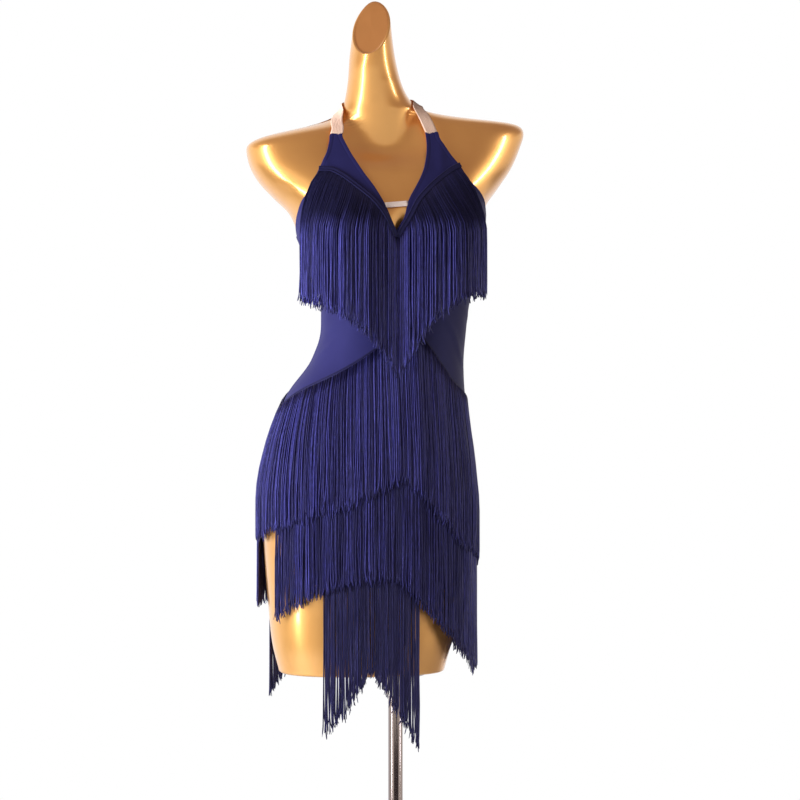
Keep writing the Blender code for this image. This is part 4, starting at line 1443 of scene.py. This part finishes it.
def read_along(path, travelled, wanted):
    """Points of each path at the wanted distances: the cell by counting, then a straight blend."""
    cell = np.sum(travelled[:, None, :] <= wanted[:, :, None], axis=-1) - 1
    cell = np.clip(cell, 0, travelled.shape[1] - 2)
    number = np.arange(len(path))[:, None]
    before, after = travelled[number, cell], travelled[number, cell + 1]
    share = np.clip((wanted - before) / (after - before), 0, 1)[..., None]
    return path[number, cell] * (1 - share) + path[number, cell + 1] * share


# %% Strands as tubes


def strand_tubes(paths, radius, turns, outward):
    """Tubes: path + radius * (cos q * side + sin q * outward), with q turning along the strand."""
    along = unit(np.gradient(paths, axis=1))
    side = unit(np.cross(along, outward))
    out = np.cross(side, along)
    turn = np.arange(SIDES) * 2 * np.pi / SIDES + turns[:, :, None]
    ring = side[:, :, None] * np.cos(turn)[..., None] + out[:, :, None] * np.sin(turn)[..., None]
    return paths[:, :, None] + ring * radius[:, :, None, None]


def tube_faces(strands, steps):
    """Quads along every tube, and one more across each of its two ends."""
    base = np.arange(strands)[:, None, None] * steps * SIDES
    ring = np.arange(steps - 1)[None, :, None] * SIDES
    corner = np.arange(SIDES)[None, None, :]
    here = base + ring + corner
    beside = base + ring + (corner + 1) % SIDES
    quads = np.stack([here, here + SIDES, beside + SIDES, beside], axis=-1).reshape(-1, 4)
    root = base[:, 0] + np.arange(SIDES)
    tip = root[:, ::-1] + (steps - 1) * SIDES
    return np.concatenate([quads, root, tip])


def choose_strands(row):
    """For all layers of a row, sorted by angle: each strand's angle, offset, radius and tone."""
    keys = np.array(row["line"])[:, 0]
    layers = []
    for layer in LAYERS:
        angles = even_angles(row, layer["spacing"], hanging=True)[0]
        angles = angles + random.uniform(-0.5, 0.5, len(angles)) * np.abs(np.gradient(angles))
        outs = layer["out"] + random.uniform(-0.0003, 0.0003, len(angles))
        radius = layer["radius"] * random.uniform(0.8, 1.15, len(angles))
        tones = random.uniform(*layer["tone"], len(angles))
        gather = np.full(len(angles), layer["gather"])
        layers.append(np.stack([angles, outs, radius, tones, gather]))
    chosen = np.concatenate(layers, axis=1)
    chosen[0] = np.clip(chosen[0], keys[0] + SEAM_ANGLE, keys[-1] - SEAM_ANGLE)
    return chosen[:, np.argsort(chosen[0])]


def gather_locks(paths, gather):
    """Pull neighbouring strands part of the way to their lock's middle, mostly near their ends."""
    count, steps = paths.shape[:2]
    lock_ends = np.cumsum(random.integers(*LOCK_STRANDS, count))
    lock = np.searchsorted(lock_ends, np.arange(count), side="right")
    members = np.bincount(lock)
    sums = [np.bincount(lock, column) for column in paths.reshape(count, -1).T]
    middle = (np.stack(sums, axis=-1) / members[:, None]).reshape(-1, steps, 3)[lock]
    closing = 0.3 * eased(SHARES * 1.3) + 0.7 * eased((SHARES - 0.6) / 0.4)
    pull = (random.uniform(*LOCK_PULL, count) * gather)[:, None] * closing[None, :]
    return paths + (middle - paths) * pull[..., None] * np.array([1.0, 1.0, 0.0]), lock


def make_fringe(name, row):
    """All the strands of one row, as one piece that stands for the row's plain solid."""
    keys, _, _, strand_lengths = np.array(row["line"]).T
    angles, outs, radius, tone, gather = choose_strands(row)
    gather = gather * row["gather"]
    count = len(angles)
    level, half_height = tape_line(row, angles)
    start = level + half_height * row["root_place"]
    lies_to = np.where(start > row["cling"], row["cling"], NO_CLING)
    full_length = smooth_table(angles, keys, strand_lengths)
    full_length += half_height * (row["root_place"] + 1 + UNDER_TAPE / (TAPE_HEIGHT / 2))
    change = random.normal(LENGTH_CHANGE["mean"], LENGTH_CHANGE["spread"], count)
    lengths = full_length * (1 + np.clip(change, LENGTH_CHANGE["least"], LENGTH_CHANGE["most"]))
    path, travelled = hanging_paths(row, angles, start, outs, lengths + 0.006)
    paths = read_along(path, travelled, lengths[:, None] * SHARES[None, :])
    paths, lock = gather_locks(paths, gather)
    outward = figure_normal(*angle_and_level(paths))
    outward[..., 2] = 0
    outward = unit(outward)
    sideways = np.stack([-outward[..., 1], outward[..., 0], np.zeros(outward.shape[:2])], axis=-1)
    phase = random.uniform(0, 2 * np.pi, (count, 1))
    waves = random.uniform(1.0, 2.6, (count, 1))
    wave = np.sin(phase + waves * 2 * np.pi * SHARES)
    sway = random.normal(0, WANDER["sway"], (count, 1)) * wave * SHARES
    drift = random.normal(0, WANDER["drift"], (count, 1)) * SHARES**2 * gather[:, None]
    curl = random.normal(0, WANDER["curl"], (count, 1)) * np.clip((SHARES - 0.92) / 0.08, 0, 1) ** 2
    lift = random.uniform(*WANDER["lift"], (count, 1)) * np.clip((SHARES - 0.6) / 0.4, 0, 1)
    paths = paths + sideways * (sway + drift + curl)[..., None] + outward * lift[..., None]
    thick = radius[:, None] * np.where(SHARES < 1.0, 1.0, 0.6)
    turns = random.uniform(0, 2, (count, 1))
    turns = turns + SHARES * random.uniform(-MOST_TURN, MOST_TURN, (count, 1))
    points = strand_tubes(paths, thick, turns, outward)
    ones = np.ones((count, len(SHARES), SIDES))
    lock_tone = random.uniform(0, 1, lock.max() + 1)[lock]
    attributes = {
        "tone": (0.75 * tone + 0.25 * lock_tone + row["tone"])[:, None, None] * ones,
        "along": SHARES[None, :, None] * ones,
        "lying": eased((paths[..., 2] - lies_to[:, None] + 0.012) / 0.022)[..., None] * ones,
        "distance": (lengths[:, None] * SHARES[None, :])[..., None] * ones,
    }
    quads = tube_faces(count, len(SHARES))
    piece = put_mesh("strands_of_" + name, points, quads, attributes=attributes)
    finish_piece(piece, navy_strands, "navy_fringe", "fringe_" + name)
    print("  ", count, "strands in", lock.max() + 1, "locks")
    return piece


fringes = {name: make_fringe(name, row) for name, row in FRINGE_ROWS.items()}

# %% [markdown]
# ## The stand
#
# A chromed tube rises from a round steel base into a flanged sleeve under the form. Each is a
# profile turned round the pole's axis, which is how the real ones are made on a lathe.

# %% Chrome and brushed steel


def make_metal(name, colour, roughness, scratch_scale, scratch_depth):
    """Bare metal with uneven gloss and faint scratches, drawn out along the way it was worked."""
    material, tree, shader = new_finish(name, Metallic=1.0, Base_Color=(*colour, 1.0))
    smudge = use_group(tree, uneven_tone, object_place(tree), Size=14.0)
    spread = math_node(tree, "MULTIPLY_ADD", smudge, 0.12, roughness - 0.06)
    feed(tree, shader.inputs["Roughness"], spread)
    add_bump(tree, shader, stretched_noise(tree, scratch_scale, Detail=3.0), scratch_depth, 0.0003)
    return material


chrome = make_metal("chrome_tube", (0.33, 0.29, 0.30), 0.12, (300.0, 300.0, 4.0), 0.04)
brushed_steel = make_metal("brushed_steel", (0.50, 0.50, 0.51), 0.33, (60.0, 900.0, 60.0), 0.12)

# %% Turned pieces
POLE_RADIUS = 0.01125
POLE_CLEARANCE = 0.0004
POLE_TOP = 0.617
BASE_RADIUS = 0.175
TURNING_STEPS = 128
SLEEVE_RADIUS = 0.016
SLEEVE_LENGTH = 0.032
FLANGE_RADIUS = 0.045
FLANGE_THICKNESS = 0.006


def softened(profile, radius, steps=5):
    """A profile with each corner replaced by a quadratic blend over radius on its two sides."""
    profile = np.asarray(profile, float)
    t = np.linspace(0, 1, steps)[:, None]
    points = [profile[:1]]
    for before, corner, after in zip(profile[:-2], profile[1:-1], profile[2:]):
        first, last = (
            corner + unit(end - corner) * min(radius, np.linalg.norm(end - corner) * 0.45)
            for end in (before, after)
        )
        points.append((1 - t) ** 2 * first + 2 * t * (1 - t) * corner + t**2 * last)
    points.append(profile[-1:])
    return np.concatenate(points)


def turned(name, profile, radius, material, slot, node):
    """A profile of (distance from the axis, height) turned round the axis, where it ends."""
    profile = softened(profile, radius)
    angles = np.linspace(0, 2 * np.pi, TURNING_STEPS, endpoint=False)
    distance, height = profile[1:-1].T[..., None]
    around = (distance * np.sin(angles), -distance * np.cos(angles), height * np.ones_like(angles))
    ends = [[0, 0, profile[0, 1]], [0, 0, profile[-1, 1]]]
    piece = put_capped(name, np.stack(around, axis=-1), ends)
    return finish_piece(piece, material, slot, node)


def make_stand():
    """Base plate with a boss, pole, and flanged sleeve."""
    bore = POLE_RADIUS + POLE_CLEARANCE
    base = (
        (0.0, 0.006),
        (bore, 0.006),
        (bore, 0.034),
        (0.020, 0.034),
        (0.020, 0.0105),
        (0.026, 0.009),
        (BASE_RADIUS - 0.008, 0.007),
        (BASE_RADIUS, 0.0045),
        (BASE_RADIUS, 0.0),
        (0.0, 0.0),
    )
    turned("stand_base_plate", base, 0.0016, brushed_steel, "steel", "stand_base")
    pole = ((0.0, POLE_TOP), (POLE_RADIUS, POLE_TOP), (POLE_RADIUS, 0.0064), (0.0, 0.0064))
    turned("stand_tube", pole, 0.0012, chrome, "chrome", "stand_pole")
    top = FORM_BOTTOM - 0.0004
    under = top - FLANGE_THICKNESS
    sleeve = (
        (0.0, top),
        (FLANGE_RADIUS, top),
        (FLANGE_RADIUS, under),
        (SLEEVE_RADIUS + 0.0008, under),
        (SLEEVE_RADIUS, under - 0.001),
        (SLEEVE_RADIUS, under - SLEEVE_LENGTH),
        (bore, under - SLEEVE_LENGTH),
        (bore, POLE_TOP + POLE_CLEARANCE),
        (0.0, POLE_TOP + POLE_CLEARANCE),
    )
    turned("stand_sleeve", sleeve, 0.0009, brushed_steel, "steel", "stand_flange")


make_stand()

# %% [markdown]
# ## Cloth
#
# Each panel is stretched on the form, and its size and area are printed where it is made.

# %% [markdown]
# ## Studio
#
# A pale floor that fades out at its rim, a broad soft light and a tall strip on the wearer's right,
# and a narrow strip on the other side that only puts streaks on the gloss. The surround is bright at
# the horizon and dim overhead, and for matt surfaces it fades towards the wearer's left, so every
# rounded form darkens towards its top and its far side.

# %% Floor
FLOOR_RADIUS = 2.6
FLOOR_LEVEL = -0.0005
FLOOR_RINGS = 60
FLOOR_COLUMNS = 96
FLOOR_FADE = (1.1, 2.5)


def make_floor():
    """A disc whose material turns transparent towards its rim, so it shows no edge."""
    rings = np.linspace(0.02, FLOOR_RADIUS, FLOOR_RINGS)[:, None]
    angles = np.linspace(0, 2 * np.pi, FLOOR_COLUMNS, endpoint=False)
    level = np.full((FLOOR_RINGS, FLOOR_COLUMNS), FLOOR_LEVEL)
    grid = np.stack([rings * np.cos(angles), rings * np.sin(angles), level], axis=-1)
    points = np.concatenate([grid.reshape(-1, 3), [[0, 0, FLOOR_LEVEL]]])
    number = np.arange(FLOOR_COLUMNS)
    centre = np.full(FLOOR_COLUMNS, len(points) - 1)
    middle = np.stack([centre, number, (number + 1) % FLOOR_COLUMNS], axis=-1)
    quads = grid_quads(FLOOR_RINGS, FLOOR_COLUMNS, closed=True)
    piece = put_mesh("studio_floor", points, quads, middle)
    paint = {"Base_Color": (0.90, 0.90, 0.90, 1.0), "Roughness": 0.7}
    material, tree, shader = new_finish("studio_floor", **paint)
    apart = add_node(tree, "VectorMath", operation="LENGTH")
    feed(tree, apart.inputs[0], object_place(tree))
    fade = smooth_range(tree, apart.outputs["Value"], *FLOOR_FADE, 1.0, 0.0)
    feed(tree, shader.inputs["Alpha"], fade)
    piece.data.materials.append(material)


make_floor()

# %% Surround
SURROUND = {
    "seen": (1.0, 1.0, 1.0, 1.0),
    "behind": (1.0, 0.97, 0.96, 1.0),
    "front_below": (0.07, 0.05, 0.05, 1.0),
}
BELOW = (0.36, 0.30, 0.28)
LEVEL = (1.0, 0.90, 0.76)
OVERHEAD = (0.44, 0.32, 0.27)
SURROUND_STOPS = ((0.0, BELOW), (0.38, BELOW), (0.46, LEVEL), (0.58, LEVEL), (0.68, OVERHEAD))
SHADY_SIDE = 0.06


def make_surround():
    """White where the camera looks. For light and reflections: white behind, tinted in front.

    The tint changes with the direction's height, and gives way to the white backdrop where the
    direction points away from the camera. What lights matt surfaces fades towards the wearer's left.
    """
    world = bpy.data.worlds.new("studio_surround")
    bpy.context.scene.world = world
    world.use_nodes = True
    tree = world.node_tree
    tree.nodes.clear()
    direction = add_node(tree, "TexCoord").outputs["Generated"]
    x, y, z = add_node(tree, "SeparateXYZ", Vector=direction).outputs
    tint = ramp_node(tree, math_node(tree, "MULTIPLY_ADD", z, 0.5, 0.5), SURROUND_STOPS, "EASE")
    backdrop = mix_node(tree, smooth_range(tree, y, 0.25, 0.75), tint, SURROUND["behind"])
    low = math_node(tree, "GREATER_THAN", -0.02, z)
    ahead = math_node(tree, "GREATER_THAN", -0.80, y)
    both = math_node(tree, "MULTIPLY", low, ahead)
    dark = mix_node(tree, both, backdrop, SURROUND["front_below"])
    to_left = smooth_range(tree, x, -0.7, 0.5, 1.0, SHADY_SIDE)
    path = add_node(tree, "LightPath").outputs
    shady = mix_node(tree, path["Is Diffuse Ray"], dark, to_left, blend="MULTIPLY")
    colour = mix_node(tree, path["Is Camera Ray"], shady, SURROUND["seen"])
    background = add_node(tree, "Background", Color=colour).outputs["Background"]
    add_node(tree, "OutputWorld", Surface=background)


make_surround()

# %% Lights
CHEST = np.array([0.0, 0.0, 1.12])
# Each row: name, azimuth from the front towards the wearer's left, distance, height, width, how
# tall, watts, whether it lights matt surfaces and whether gloss mirrors it. The broad key isn't
# mirrored, so that it models the cloth only, and the side strip only puts streaks on the gold.
LIGHTS = (
    ("key_soft", -76.0, 3.0, 1.10, 2.2, 2.0, 132.0, True, False),
    ("key_strip", -73.0, 2.9, 1.70, 0.40, 3.2, 48.0, True, True),
    ("side_strip", 67.0, 3.2, 1.60, 0.26, 2.8, 32.0, False, True),
)


def add_light(name, azimuth, distance, height, width, tall, power, matt, mirrored):
    """A rectangular soft light that looks at the chest."""
    turn = np.radians(azimuth)
    place = np.array([distance * np.sin(turn), -distance * np.cos(turn), height])
    light = bpy.data.lights.new(name, "AREA")
    light.shape = "RECTANGLE"
    light.size = width
    light.size_y = tall
    light.energy = power
    lamp = bpy.data.objects.new(name, light)
    bpy.context.scene.collection.objects.link(lamp)
    lamp.location = place
    lamp.rotation_euler = mathutils.Vector(place - CHEST).to_track_quat("Z", "Y").to_euler()
    lamp.visible_diffuse = matt
    lamp.visible_glossy = mirrored


for light_row in LIGHTS:
    add_light(*light_row)

# %% [markdown]
# ## Camera
#
# A long lens level with the waist, a little to the wearer's right, so that verticals stay upright.

# %% Camera
CAMERA_AZIMUTH = -12.0
CAMERA_DISTANCE = 4.0
CAMERA_HEIGHT = 1.051
CAMERA_SIDE = 0.007
SENSOR_WIDTH = 36.0
LENS_SCALE = 2580.6
FRAME_WIDTH = 800


def make_camera():
    """A level camera at an azimuth about the pole; lens = scale * sensor width / frame width."""
    turn = np.radians(CAMERA_AZIMUTH)
    right = np.array([np.cos(turn), np.sin(turn), 0.0])
    forward = np.array([-np.sin(turn), np.cos(turn), 0.0])
    place = -forward * CAMERA_DISTANCE + right * CAMERA_SIDE
    data = bpy.data.cameras.new("studio_camera")
    data.sensor_width = SENSOR_WIDTH
    data.lens = LENS_SCALE * SENSOR_WIDTH / FRAME_WIDTH
    camera = bpy.data.objects.new("studio_camera", data)
    bpy.context.scene.collection.objects.link(camera)
    camera.location = (place[0], place[1], CAMERA_HEIGHT)
    camera.rotation_euler = (np.pi / 2, 0.0, turn)
    bpy.context.scene.camera = camera
    print("lens", round(data.lens, 2), "mm")


make_camera()
bpy.context.scene.view_settings.view_transform = "Standard"
